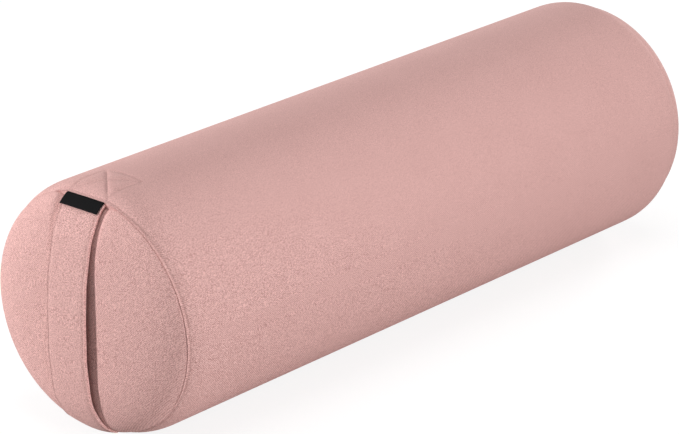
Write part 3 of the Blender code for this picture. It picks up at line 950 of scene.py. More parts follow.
@dataclass
class CoverCloth:
    """The cover: a tube of cloth and two crowned ends, sewn together with their allowances inside."""

    form: BolsterForm
    around: int = 200
    crowding: float = 0.62
    fine_length: float = 0.046
    fine_spacing: float = 0.0013
    spacing_growth: float = 1.12
    coarse_spacing: float = 0.0055
    far_length: float = 0.030
    far_steps: int = 11
    far_crowding: float = 1.6
    crown_spacing: float = 0.0032
    crown_crowding: float = 1.25
    cloth: float = 0.0008
    fold: float = 0.0007
    seam_gap: float = 0.0003
    allowance: float = 0.0042
    pressure: float = 4.0
    frames: int = 20
    swell_cap: float = 0.0022
    seam_hold: float = 0.006
    tail_hold: float = 0.052
    tail_half: float = 0.034
    strap_half: float = 0.030
    zip_hold: float = math.radians(13)
    zip_start: float = 0.02
    base_cosine: float = -0.965
    zip_angle: float = math.radians(15)
    box_length: float = 0.040
    box_width: float = 0.040
    box_start: float = 0.0025
    box_border: float = 0.01
    groove: float = 0.0009
    groove_width: float = 0.0010
    puff: float = 0.0006
    puff_reach: float = 0.004
    gather_reach: float = 0.009
    slot: tuple[float, float, float] = (0.5616, 0.014, 0.02)
    slot_corner: float = 0.002
    row_points: int = 25
    row_sink: float = 0.75
    row_clearance: float = 0.0002
    floor_height: float = 0.0001 - CENTRE.z

    def stations(self) -> list[float]:
        """Distances along the body from one seam to the other, closest together at the handle's seam."""
        whole = 2 * self.form.half_length
        places = list(np.arange(0.0, self.fine_length, self.fine_spacing))
        step = self.fine_spacing
        while places[-1] < whole - self.far_length:
            step = min(step * self.spacing_growth, self.coarse_spacing)
            places.append(places[-1] + step)
        last, rest = places[-1], whole - places[-1]
        shares = [i / self.far_steps for i in range(1, self.far_steps + 1)]
        return places + [last + rest * (1 - (1 - share) ** self.far_crowding) for share in shares]

    def crown_outline(self) -> list[tuple[float, float]]:
        """Evenly spaced points of (out, radius) from an end's middle to its seam."""
        turns = np.linspace(0.0, math.pi / 2, 2000)
        radii = self.form.seam_radius * np.sin(turns)
        out = self.form.crown(radii)
        runs = np.concatenate(([0.0], np.cumsum(np.hypot(np.diff(radii), np.diff(out)))))
        count = round(runs[-1] / self.crown_spacing)
        spaced = runs[-1] * (1 - (1 - np.linspace(0.0, 1.0, count + 1)) ** self.crown_crowding)
        return list(zip(np.interp(spaced, runs, out), np.interp(spaced, runs, radii)))

    def skin(self) -> Piece:
        """The closed skin of all three panels, as evenly stuffed and then settled."""
        form = self.form
        crown = self.crown_outline()
        whole = 2 * form.half_length
        body = [(s - form.half_length, float(form.radius_at(min(s, whole)))) for s in self.stations()]
        left = [(-form.half_length - out, radius) for out, radius in crown[:-1]]
        right = [(form.half_length + out, radius) for out, radius in reversed(crown[:-1])]
        skin = lathe("cover_skin", left + body + right, self.around)
        points = points_of(skin)
        radii = np.hypot(points[:, 1], points[:, 2])
        turn = np.arctan2(points[:, 1], points[:, 2])
        turn -= self.crowding * np.sin(turn)
        keep_value(skin, "lathe_x", points[:, 0])
        keep_value(skin, "lathe_radius", radii)
        keep_value(skin, "lathe_turn", turn)
        points = np.column_stack((points[:, 0], radii * np.sin(turn), radii * np.cos(turn)))
        move_points(skin, form.settle(points))
        return skin

    def held(self, skin: Piece) -> Points:
        """How firmly each vertex is held while the stuffing swells the skin: 1 at sewn places."""
        x, radius, turn = (value_of(skin, name) for name in ("lathe_x", "lathe_radius", "lathe_turn"))
        inside = self.form.half_length - np.abs(x)
        firm = np.exp(-((inside / self.seam_hold) ** 2))
        across = radius * np.abs(np.sin(turn))
        sewn = (x < 0) & (inside < self.tail_hold) & (across < self.tail_half)
        sewn &= np.abs(np.cos(turn)) > 0.5
        under_handle = (inside < 0) & (x < 0) & (across < self.strap_half)
        zip_side = np.abs(turn - (math.pi / 2 - self.zip_angle)) < self.zip_hold
        bottom = (np.cos(turn) < self.base_cosine) & (inside > 0)
        for place_held in (sewn, under_handle, zip_side & (inside > self.zip_start), bottom):
            firm = np.maximum(firm, place_held.astype(float))
        return firm

    def swell(self, skin: Piece) -> None:
        """Lets the stuffing press the skin out for a moment, as cloth held at its seams.

        Args:
            skin: The closed skin. Its points move by at most the cap.
        """
        rest = points_of(skin)
        firm = self.held(skin)
        group = skin.vertex_groups.new(name="held")
        for level in np.unique(np.round(firm, 2)):
            chosen = np.flatnonzero(np.round(firm, 2) == level).tolist()
            if level > 0.01:
                group.add(chosen, float(level), "REPLACE")
        only(skin)
        cloth = skin.modifiers.new("cloth", "CLOTH")
        cloth.settings.vertex_group_mass = "held"
        cloth.settings.use_pressure = True
        cloth.settings.uniform_pressure_force = self.pressure
        cloth.settings.effector_weights.gravity = 0.0
        cloth.settings.quality = 4
        cloth.collision_settings.use_collision = False
        scene = bpy.context.scene
        for step in range(1, self.frames + 1):
            scene.frame_set(step)
        bpy.ops.object.modifier_apply(modifier=cloth.name)
        scene.frame_set(1)
        skin.vertex_groups.clear()
        moved = points_of(skin) - rest
        far = np.linalg.norm(moved, axis=1)
        log.info("swell: mean %.2f mm, most %.2f mm", far.mean() * 1000, far.max() * 1000)
        capped = self.swell_cap * np.tanh(far / self.swell_cap)
        move_points(skin, rest + moved * (capped / np.maximum(far, NOTHING))[:, None])

    def crease_box(self, body: Piece) -> None:
        """Sinks the crossed box of stitches that holds each handle tail into the body's cloth."""
        x, radius, turn = (value_of(body, name) for name in ("lathe_x", "lathe_radius", "lathe_turn"))
        inside = self.form.half_length + x
        depth = np.zeros(len(x))
        for upper in (True, False):
            angle = turn if upper else np.mod(turn, math.tau) - math.pi
            across = radius * angle
            apart = self.from_box(inside, across)
            beside, half, border = np.abs(across), self.box_width / 2, self.box_border
            near = (inside < self.box_length + border) & (beside < half + border)
            within = (inside < self.box_length) & (beside < half)
            line = self.groove * np.exp(-((apart / self.groove_width) ** 2))
            puff = np.where(within, self.puff * (1 - np.exp(-((apart / self.puff_reach) ** 2))), 0.0)
            depth += np.where(near, line - puff, 0.0)
        points = points_of(body)
        inward = -points * np.array([0, 1, 1]) / np.maximum(radius, TINY)[:, None]
        move_points(body, points + inward * depth[:, None])

    def rest_on_floor(self, body: Piece) -> None:
        """Flattens the body where it lies on the floor."""
        points = points_of(body)
        points[:, 2] = np.maximum(points[:, 2], self.floor_height)
        move_points(body, points)

    def box_lines(self) -> list[tuple[tuple[float, float], tuple[float, float]]]:
        """The box's sewn lines, each from (inside, across) to (inside, across)."""
        near, far = self.box_start, self.box_length
        half = self.box_width / 2
        corners = [(near, -half), (far, -half), (far, half), (near, half)]
        return [
            (corners[0], corners[1]),
            (corners[1], corners[2]),
            (corners[2], corners[3]),
            (corners[0], corners[2]),
            (corners[1], corners[3]),
        ]

    def from_box(self, inside: Points, across: Points) -> Points:
        """How far each place is from the nearest line of the box."""
        spots = np.column_stack((inside, across))
        nearest = np.full(len(spots), 1.0)
        for start, end in self.box_lines():
            a, b = np.array(start), np.array(end)
            share = np.clip((spots - a) @ (b - a) / ((b - a) @ (b - a)), 0.0, 1.0)
            nearest = np.minimum(nearest, np.linalg.norm(spots - a - share[:, None] * (b - a), axis=1))
        return nearest

    def separate(self, skin: Piece, name: str, left: bool) -> Piece:
        """Parts one end from the skin.

        Args:
            skin: The skin, which keeps the rest.
            name: The end's name.
            left: Whether it is the end at -X.

        Returns:
            The end's piece.
        """
        limit = self.form.half_length
        with editing(skin, "FACE"):
            mesh = bmesh.from_edit_mesh(skin.data)
            layer = mesh.verts.layers.float["lathe_x"]
            for face in mesh.faces:
                middle = sum(vert[layer] for vert in face.verts) / len(face.verts)
                face.select = middle < -limit if left else middle > limit
            bmesh.update_edit_mesh(skin.data)
            before = set(bpy.data.objects)
            bpy.ops.mesh.separate(type="SELECTED")
        end = (set(bpy.data.objects) - before).pop()
        end.name = name
        end.data.name = name
        return end

    def turn_in(self, panel: Piece, left: bool, inwards: float) -> None:
        """Folds a panel's edge in at a seam and carries it on as the seam allowance.

        Args:
            panel: The panel.
            left: Whether the seam is the one at -X.
            inwards: The way from the seam to the panel along X, 1 or -1.
        """
        fold, gap = self.fold, self.seam_gap
        steps = (
            (0.45 * fold, -0.10 * fold),
            (0.15 * fold, -0.45 * fold),
            (0.0, -1.0 * fold),
            (0.0, -self.allowance),
        )
        with editing(panel):
            mesh = bmesh.from_edit_mesh(panel.data)
            for vert in mesh.verts:
                vert.select = vert.is_boundary and (vert.co.x < 0) == left
            mesh.select_flush_mode()
            bmesh.update_edit_mesh(panel.data)
            bpy.ops.transform.translate(value=(inwards * (fold + gap), 0, 0))
            along, radius = fold, 0.0
            for next_along, next_radius in steps:
                bpy.ops.mesh.extrude_region_move(TRANSFORM_OT_translate={"value": (0, 0, 0)})
                start = self.form.seam_radius + radius
                scale = (self.form.seam_radius + next_radius) / start
                bpy.ops.transform.resize(value=(1, scale, scale), center_override=(0, 0, 0))
                bpy.ops.transform.translate(value=(inwards * (next_along - along), 0, 0))
                along, radius = next_along, next_radius
            bpy.ops.mesh.select_all(action="SELECT")
            bpy.ops.mesh.normals_make_consistent(inside=False)

    def note_seam(self, panel: Piece) -> None:
        """Stores how near each vertex is to a seam, for the gathers."""
        x, radius = value_of(panel, "lathe_x"), value_of(panel, "lathe_radius")
        away = np.where(
            np.abs(x) > self.form.half_length,
            np.hypot(self.form.seam_radius - radius, np.abs(x) - self.form.half_length),
            self.form.half_length - np.abs(x),
        )
        keep_value(panel, "near_seam", np.clip(1 - away / self.gather_reach, 0.0, 1.0) ** 2)

    def cut_zip_slot(self, body: Piece) -> None:
        """Cuts the slot that the zip shows in."""
        turn = self.zip_angle - math.pi / 2
        out = Matrix.Rotation(turn, 3, "X") @ Vector((0, 0, self.form.body_radius))
        bpy.ops.object.select_all(action="DESELECT")
        bpy.ops.mesh.primitive_cube_add(size=1.0, location=out, rotation=(turn, 0, 0), scale=self.slot)
        cutter = named("slot_cutter")
        only(cutter)
        bpy.ops.object.transform_apply(location=True, rotation=True, scale=True)
        finish_with(cutter, "BEVEL", width=self.slot_corner, segments=3)
        finish_with(body, "BOOLEAN", operation="DIFFERENCE", object=cutter, solver="EXACT")
        bpy.data.objects.remove(cutter)

    def cloth_places(self, panel: Piece, end: bool) -> None:
        """Lays the weave on a panel, flat on an end and rolled round the body."""
        points = points_of(panel)
        if end:
            lay_cloth(panel, points[:, 1:])
            return
        turn = np.arctan2(points[:, 1], points[:, 2]) + math.pi
        radius = self.form.body_radius
        lay_cloth(panel, np.column_stack((turn * radius, points[:, 0])), math.tau * radius)

    def make(self, material: Material) -> None:
        """Builds the three panels.

        Args:
            material: The cover's cloth.
        """
        skin = self.skin()
        self.swell(skin)
        handle_end = self.separate(skin, "cover_end_handle_cloth", True)
        plain_end = self.separate(skin, "cover_end_plain_cloth", False)
        skin.name = skin.data.name = "cover_body_cloth"
        self.crease_box(skin)
        self.rest_on_floor(skin)
        self.turn_in(skin, True, 1.0)
        self.turn_in(skin, False, -1.0)
        self.turn_in(handle_end, True, -1.0)
        self.turn_in(plain_end, False, 1.0)
        nodes = ("cover_end_handle", "cover_end_plain", "cover_body")
        for panel, node in zip((handle_end, plain_end, skin), nodes):
            self.note_seam(panel)
            finish_with(panel, "SOLIDIFY", thickness=self.cloth, offset=-1.0)
            if panel is skin:
                self.cut_zip_slot(panel)
            self.cloth_places(panel, panel is not skin)
            dress(panel, material, "cover_cotton", node, angle=70.0, fill=0.95)

    def box_rows(self, upper: bool) -> list[tuple[list[Vector], list[Vector]]]:
        """The rows of stitches of one crossed box, as points on the cloth and outward directions."""
        rows = []
        for start, end in self.box_lines():
            a, b, last = np.array(start), np.array(end), self.row_points - 1
            points, outward = [], []
            for inside, across in (a + (b - a) * i / last for i in range(self.row_points)):
                spot = self.form.on_body(inside, across, -self.groove * self.row_sink)
                out = Vector((0, spot.y, spot.z)).normalized()
                if not upper:
                    radius = math.hypot(spot.y, spot.z)
                    height = max(-out.z * radius, self.floor_height + self.row_clearance)
                    x = -self.form.half_length + inside - self.form.lean * height
                    spot = Vector((x, spot.y, height))
                    out = Vector((0, out.y, -out.z))
                points.append(spot)
                outward.append(out)
            rows.append((points, outward))
        return rows


# The carry handle


@dataclass
class CarryHandle:
    """The folded strap across the end, with its webbing core, its edge stitches and its label."""

    form: BolsterForm
    webbing_width: float = 0.038
    webbing_thickness: float = 0.0008
    webbing_depth: float = 0.0010
    edge_row: float = 0.0017
    row_groove: float = 0.00045
    row_groove_width: float = 0.0006
    plumpness: float = 0.0003
    wander: float = 0.00015
    wander_along: float = 190.0
    wander_across: float = 130.0
    edge_round: float = 0.0006
    groove_half: float = 0.0005
    groove_foot: float = 0.0013
    flat_start: float = 0.004
    strap_bevel: float = 0.0009
    bevel_angle: float = math.radians(50)
    row_from: float = 0.004
    row_to: float = 0.006
    row_sink: float = 0.6
    label_ends: tuple[float, float] = (-0.0198, 0.0212)
    label_length: float = 0.0152
    label_thickness: float = 0.0009
    label_tuck: float = 0.0018
    label_gap: float = 0.0003
    label_lift: float = 0.0008
    label_bow: float = 0.0002
    label_wave: float = 150.0
    label_bevel: float = 0.00035
    core_tuck: float = 0.001
    still_to: float = 0.001
    drawn_from: float = 0.033
    station: float = 0.0025

    @property
    def route(self) -> HandleRoute:
        """The handle's route."""
        return self.form.route

    def band(
        self,
        name: str,
        ends: tuple[float, float],
        across: Sequence[float],
        depth: Callable[[float, float], float],
        thickness: float,
    ) -> Piece:
        """A band of cloth that follows the handle's route.

        Args:
            name: The band's name.
            ends: The runs where it starts and ends.
            across: Places across it, from one edge to the other.
            depth: Gives how far its outer face lies under the route at a run and a place across.
            thickness: How thick it is.

        Returns:
            The closed band, with its cloth map laid.
        """
        along = max(4, round((ends[1] - ends[0]) / self.station))
        bpy.ops.object.select_all(action="DESELECT")
        bpy.ops.mesh.primitive_grid_add(x_subdivisions=along, y_subdivisions=len(across) - 1, size=1.0)
        band = named(name)
        flat = points_of(band)
        columns, column = np.unique(np.round(flat[:, 0], 5), return_inverse=True)
        rows, row = np.unique(np.round(flat[:, 1], 5), return_inverse=True)
        runs = np.linspace(ends[0], ends[1], len(columns))
        sides = np.interp(np.arange(len(rows)), np.linspace(0, len(rows) - 1, len(across)), across)
        places = np.column_stack((runs[column], sides[row]))
        spots = [self.route.point(run, side, depth(run, side)) for run, side in places]
        move_points(band, np.array(spots))
        lay_cloth(band, places[:, ::-1])
        middle = band.data.polygons[len(band.data.polygons) // 2]
        if middle.normal.x > 0:
            turn_over(band)
        finish_with(band, "SOLIDIFY", thickness=thickness, offset=-1.0)
        return band

    def strap_depth(self, run: float, side: float) -> float:
        """The strap's face: a little plump between its two rows of stitches, and sunk along them."""
        row = self.route.width / 2 - self.edge_row
        groove = self.row_groove * math.exp(-(((abs(side) - row) / self.row_groove_width) ** 2))
        plump = self.plumpness * max(0.0, 1 - (side / row) ** 4)
        wander = self.wander * math.sin(run * self.wander_along) * math.cos(side * self.wander_across)
        return groove - plump + wander

    def strap(self) -> Piece:
        """The folded strap, tails included."""
        half = self.route.width / 2
        row = half - self.edge_row
        sides = [-half, -half + self.edge_round, -row - self.groove_half, -row]
        sides += [-row + self.groove_half, -row + self.groove_foot]
        sides += list(np.linspace(-row + self.flat_start, 0.0, 5))
        sides += [-side for side in reversed(sides[:-1])]
        ends = (0.0, self.route.length)
        strap = self.band("handle_strap", ends, sides, self.strap_depth, self.route.thickness)
        self.soften(strap, self.strap_bevel, 3)
        return strap

    def soften(self, piece: Piece, width: float, segments: int) -> None:
        """Rounds a band's edges."""
        angle = self.bevel_angle
        finish_with(
            piece, "BEVEL", width=width, segments=segments, limit_method="ANGLE", angle_limit=angle
        )

    def edge_rows(self) -> list[tuple[list[Vector], list[Vector]]]:
        """The two rows of stitches along the strap's edges."""
        rows = []
        start = self.route.run_where(self.row_from, True)
        end = self.route.run_where(self.row_to, False)
        runs = np.linspace(start, end, 120)
        for side in (-1.0, 1.0):
            across = side * (self.route.width / 2 - self.edge_row)
            points = [self.route.point(run, across, self.row_groove * self.row_sink) for run in runs]
            inner = [self.route.point(run, across, 0.002) for run in runs]
            rows.append((points, [(a - b).normalized() for a, b in zip(points, inner)]))
        return rows

    def label(self) -> Piece:
        """The bare woven label, sewn in with the strap's top end and lying on it."""
        left, right = self.label_ends
        start = self.route.run_where(-self.label_tuck, True)
        shares = (0.0, 0.02, 0.08, 0.2, 0.35, 0.5, 0.65, 0.8, 0.92, 0.98, 1.0)
        sides = [left + (right - left) * share for share in shares]

        def depth(run: float, side: float) -> float:
            """The label's face: clear of the strap, lifting towards its free edge, bowed across."""
            lift = self.label_lift * ((run - start) / self.label_length) ** 2
            bow = self.label_bow * math.cos(side * self.label_wave)
            return -self.label_thickness - self.label_gap - lift - bow

        ends = (start, start + self.label_length)
        label = self.band("handle_black_label", ends, sides, depth, self.label_thickness)
        self.soften(label, self.label_bevel, 2)
        return label

    def core(self) -> Piece:
        """The webbing inside the strap."""
        half = self.webbing_width / 2
        sides = list(np.linspace(-half, half, 9))
        ends = (self.core_tuck, self.route.length - self.core_tuck)
        depth = self.webbing_depth
        return self.band(
            "handle_webbing_core", ends, sides, lambda run, side: depth, self.webbing_thickness
        )

    def blend(self, piece: Piece) -> None:
        """Keeps a piece's sewn ends on the bolster and lets its middle draw out with the handle."""
        down = Vector((-1.0, 0.0, -self.form.lean)).normalized()
        seam = CENTRE + Vector((-self.form.half_length, 0.0, 0.0))
        start, end = seam + down * self.still_to, seam + down * self.drawn_from
        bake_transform(piece, BOLSTER, HANDLE, start=start, end=end)

    def make(self, cloth: Material, webbing: Material, damask: Material, thread: Material) -> None:
        """Builds the handle's pieces.

        Args:
            cloth: The strap's cloth.
            webbing: The core's webbing.
            damask: The label's cloth.
            thread: The sewing thread.
        """
        strap, core, label = self.strap(), self.core(), self.label()
        sewing = Stitching("handle_edge_stitches", pitch=0.0026, length=0.0018, width=0.0004)
        stitches = sewing.sew(self.edge_rows())
        dress(strap, cloth, "cover_cotton", "handle_sleeve", hold=self.blend)
        dress(core, webbing, "webbing", "handle_webbing", hold=self.blend)
        dress(label, damask, "label", "handle_label", hold=self.blend)
        dress(stitches, thread, "cover_cotton", hold=self.blend)


# The zip


@dataclass
class Zip:
    """The closed zip on the bolster's back, in the cover's slot."""

    form: BolsterForm
    angle: float = math.radians(15)
    length: float = 0.560
    tape_radius: float = 0.1067
    tape_width: float = 0.0155
    tape_thickness: float = 0.0008
    overrun: float = 0.008
    spacing: float = 0.0016
    tooth_width: float = 0.0031
    tooth_height: float = 0.0020
    tooth_pitch: float = 0.0016
    wire: float = 0.00036
    ring_wire: float = 0.3
    slant: float = 0.25
    tooth_overlap: float = 0.0002
    stop: float = 0.0034
    slot_half: float = 0.0070
    stitch_gap: float = 0.0030
    stitch_lift: float = 0.0001

    @property
    def turn(self) -> Matrix:
        """The turn from lying on top of the bolster to the zip's place."""
        return Matrix.Rotation(self.angle - math.pi / 2, 4, "X")

    def tape(self, name: str, sign: float) -> Piece:
        """One woven tape, curved with the body, with the thicker cord edge that the teeth are sewn to."""
        bpy.ops.object.select_all(action="DESELECT")
        bpy.ops.mesh.primitive_grid_add(x_subdivisions=24, y_subdivisions=12, size=1.0)
        tape = named(name)
        flat = points_of(tape)
        across = self.spacing / 2 + (flat[:, 1] + 0.5) * self.tape_width
        x = flat[:, 0] * (self.length + 2 * self.overrun)
        level = np.sqrt(self.tape_radius**2 - across**2)
        move_points(tape, np.column_stack((x, sign * across, level)))
        lay_cloth(tape, np.column_stack((x, across)))
        if tape.data.polygons[0].normal.z < 0:
            turn_over(tape)
        finish_with(tape, "SOLIDIFY", thickness=self.tape_thickness, offset=-1.0)
        tape.data.transform(self.turn)
        return tape

    def teeth(self, name: str, sign: float) -> Piece:
        """One side's coil: a loop of nylon modelled once and repeated along the tape."""
        chain = self.length - 2 * self.stop
        count = int(chain / self.tooth_pitch)
        bpy.ops.object.select_all(action="DESELECT")
        ring, wire = self.ring_wire, self.wire
        bpy.ops.mesh.primitive_torus_add(
            major_segments=10, minor_segments=5, major_radius=1.0, minor_radius=ring
        )
        coil = named(name)
        points = points_of(coil)
        angle = np.arctan2(points[:, 1], points[:, 0])
        away = np.hypot(points[:, 0], points[:, 1]) - 1.0
        across = np.cos(angle) * (self.tooth_width / 2 - wire) + np.cos(angle) * away / ring * wire
        height = np.sin(angle) * (self.tooth_height / 2 - wire) + np.sin(angle) * away / ring * wire
        along = points[:, 2] / ring * wire + self.slant * self.tooth_pitch * np.sin(angle)
        shift = 0.5 * self.tooth_pitch if sign > 0 else 0.0
        start = -chain / 2 + self.tooth_pitch / 2 + shift
        middle = sign * (self.tooth_width / 2 - self.tooth_overlap)
        level = self.tape_radius + self.tooth_height / 2
        move_points(coil, np.column_stack((start + along, middle + across, level + height)))
        with editing(coil):
            bpy.ops.mesh.select_all(action="SELECT")
            bpy.ops.mesh.normals_make_consistent(inside=False)
        finish_with(
            coil,
            "ARRAY",
            count=count - 1,
            use_relative_offset=False,
            use_constant_offset=True,
            constant_offset_displace=(self.tooth_pitch, 0.0, 0.0),
        )
        coil.data.transform(self.turn)
        return coil

    def topstitch_rows(self) -> list[tuple[list[Vector], list[Vector]]]:
        """The rows of stitches round the slot."""
        radius = self.form.body_radius + self.stitch_lift
        across = self.slot_half + self.stitch_gap
        half = self.length / 2 + self.stitch_gap
        corners = [(-half, -across), (half, -across), (half, across), (-half, across)]
        turn = self.turn.to_3x3()
        rows = []
        for start, end in zip(corners, corners[1:] + corners[:1]):
            points, outward = [], []
            for share in np.linspace(0.0, 1.0, 40):
                x = start[0] + (end[0] - start[0]) * share
                side = (start[1] + (end[1] - start[1]) * share) / radius
                out = Vector((0, math.sin(side), math.cos(side)))
                points.append(turn @ (out * radius + Vector((x, 0, 0))))
                outward.append(turn @ out)
            rows.append((points, outward))
        return rows

    def make(self, cloth: Material, nylon: Material, metal: Material, thread: Material) -> None:
        """Builds the zip's tapes, teeth and stitches, and plates its metal parts.

        Args:
            cloth: The tape's cloth.
            nylon: The coil's nylon.
            metal: The plate on the slider, the pull and the stops.
            thread: The sewing thread.
        """
        for side, sign in (("upper", -1.0), ("lower", 1.0)):
            tape = self.tape(f"zip_tape_{side}_woven", sign)
            teeth = self.teeth(f"zip_teeth_{side}", sign)
            dress(tape, cloth, "zip_tape", f"zip_tape_{side}")
            dress(teeth, nylon, "zip_coil", f"zip_coil_{side}")
        stitches = Stitching("zip_topstitching").sew(self.topstitch_rows())
        dress(stitches, thread, "cover_cotton")
        stops = ("zip_top_stop_upper", "zip_top_stop_lower", "zip_bottom_stop")
        for node in ("zip_slider", "zip_pull", *stops):
            solid = frame["nodes"][node]
            solid.data.materials.clear()
            solid.data.materials.append(metal)
            log.info("%s: plated", node)


# The filling


@dataclass
class Filling:
    """What the cover holds: the lining bag, the wadding and the foam core."""

    form: BolsterForm
    steps: int = 96
    lining_inset: float = 0.0026
    lining: float = 0.0006
    lining_rim: float = 0.0945
    wadding_inset: float = 0.0042
    wadding_depth: float = 0.0016
    pad_rim: float = 0.0930
    pad_radius: float = 0.0950
    pad_shoulder: float = 0.012
    core_radius: float = 0.085
    pad_depth: float = 0.025
    core_corner: float = 0.004
    gap: float = 0.0004
    zip_angle: float = math.radians(15)
    zip_reach: float = math.radians(10)
    zip_limit: float = 0.1038
    tail_half: float = 0.0315
    tail_reach: float = 0.049
    tail_height: float = 0.05
    tail_limit: float = 0.0966
    cloth_radius: float = 0.1

    def tucked(self, points: Points, depth: float) -> Points:
        """Presses points in under the handle's tails and the zip, and then settles them.

        Args:
            points: Points of an evenly filled layer.
            depth: How far inside the lining's face the layer lies.

        Returns:
            The settled points.
        """
        x, y, z = points.T
        radius = np.maximum(np.hypot(y, z), TINY)
        towards_zip = (y * math.cos(self.zip_angle) + z * math.sin(self.zip_angle)) / radius
        zip_side = towards_zip > math.cos(self.zip_reach)
        limit = np.where(zip_side, np.minimum(radius, self.zip_limit - depth), radius)
        tails = (np.abs(y) < self.tail_half) & (x + self.form.half_length < self.tail_reach)
        tails &= np.abs(z) > self.tail_height
        limit = np.where(tails, np.minimum(limit, self.tail_limit - depth), limit)
        scale = limit / radius
        return self.form.settle(np.column_stack((x, y * scale, z * scale)))

    def layer(self, name: str, outline: Sequence[tuple[float, float]], depth: float) -> Piece:
        """Spins one closed layer and settles it."""
        piece = lathe(name, outline, self.steps)
        move_points(piece, self.tucked(points_of(piece), depth))
        points = points_of(piece)
        turn = np.arctan2(points[:, 1], points[:, 2]) + math.pi
        around = self.cloth_radius
        lay_cloth(piece, np.column_stack((turn * around, points[:, 0])), math.tau * around)
        return piece

    def crowned(self, inset: float, radius: float) -> list[tuple[float, float]]:
        """An outline over one crowned end, from its middle to a radius, set in from the cover."""
        radii = [radius * share for share in np.linspace(0.0, 1.0, 14)]
        return [(float(self.form.crown(r)) - inset, r) for r in radii]

    def tube(self, inset: float, first: float) -> list[tuple[float, float]]:
        """Places of (inside, radius) along half of the body, set in from the cover."""
        insides = [first, 0.007, 0.012, 0.0175, 0.026, 0.040, 0.062, 0.120, 0.220, 0.324]
        return [(inside, float(self.form.radius_at(inside)) - inset) for inside in insides]

    def closed(self, inset: float, rim: float) -> list[tuple[float, float]]:
        """The outline of a whole filled form, from the middle of one end to that of the other."""
        half = self.form.half_length
        end = self.crowned(inset, rim)
        tube = self.tube(inset, 0.003)
        left = [(-half - out, radius) for out, radius in end]
        left += [(-half + inside, radius) for inside, radius in tube]
        return left + [(-x, radius) for x, radius in reversed(left[:-1])]

    def make(self, cotton: Material, wadding: Material, foam: Material) -> None:
        """Builds the filling's pieces.

        Args:
            cotton: The lining's cloth.
            wadding: The wadding.
            foam: The core's foam.
        """
        half = self.form.half_length
        bag = self.layer("lining_bag", self.closed(self.lining_inset, self.lining_rim), 0.0)
        finish_with(bag, "SOLIDIFY", thickness=self.lining, offset=-1.0)
        step = self.pad_depth + self.gap
        inner = self.core_radius + self.gap
        tube = [(-half + inside, radius) for inside, radius in self.tube(self.wadding_inset, step)[4:]]
        shoulder = float(self.form.radius_at(step)) - self.wadding_inset
        left = [(-half + step, inner), (-half + step, shoulder)] + tube
        wrap_outline = left + [(-x, radius) for x, radius in reversed(left[:-1])]
        wrap_outline.append((-half + step, inner))
        wrap = self.layer("wadding_wrap", wrap_outline, self.wadding_depth)
        core_outline = [(-half + step, 0.0), (-half + step, self.core_radius)]
        core_outline += [(half - step, self.core_radius), (half - step, 0.0)]
        core = self.layer("foam_core_block", core_outline, 0.0)
        corner, angle = self.core_corner, math.radians(40)
        finish_with(core, "BEVEL", width=corner, segments=3, limit_method="ANGLE", angle_limit=angle)
        pads = []
        for name, side in (("handle", -1.0), ("plain", 1.0)):
            rings = self.crowned(self.wadding_inset, self.pad_rim)
            rings += [(-self.pad_shoulder, self.pad_radius), (-self.pad_depth, self.pad_radius)]
            rings.append((-self.pad_depth, 0.0))
            outline = [(side * (half + out), radius) for out, radius in rings]
            pads.append(self.layer(f"wadding_pad_{name}", outline, self.wadding_depth))
        dressed = (
            (bag, cotton, "lining", ("liner_body", "liner_end_handle", "liner_end_plain")),
            (wrap, wadding, "wadding", ("batting_wrap",)),
            (pads[0], wadding, "wadding", ("end_pad_handle",)),
            (pads[1], wadding, "wadding", ("end_pad_plain",)),
            (core, foam, "foam", ("foam_core",)),
        )
        for piece, material, slot, nodes in dressed:
            dress(piece, material, slot, *nodes, angle=40.0, fill=0.9)


# The studio


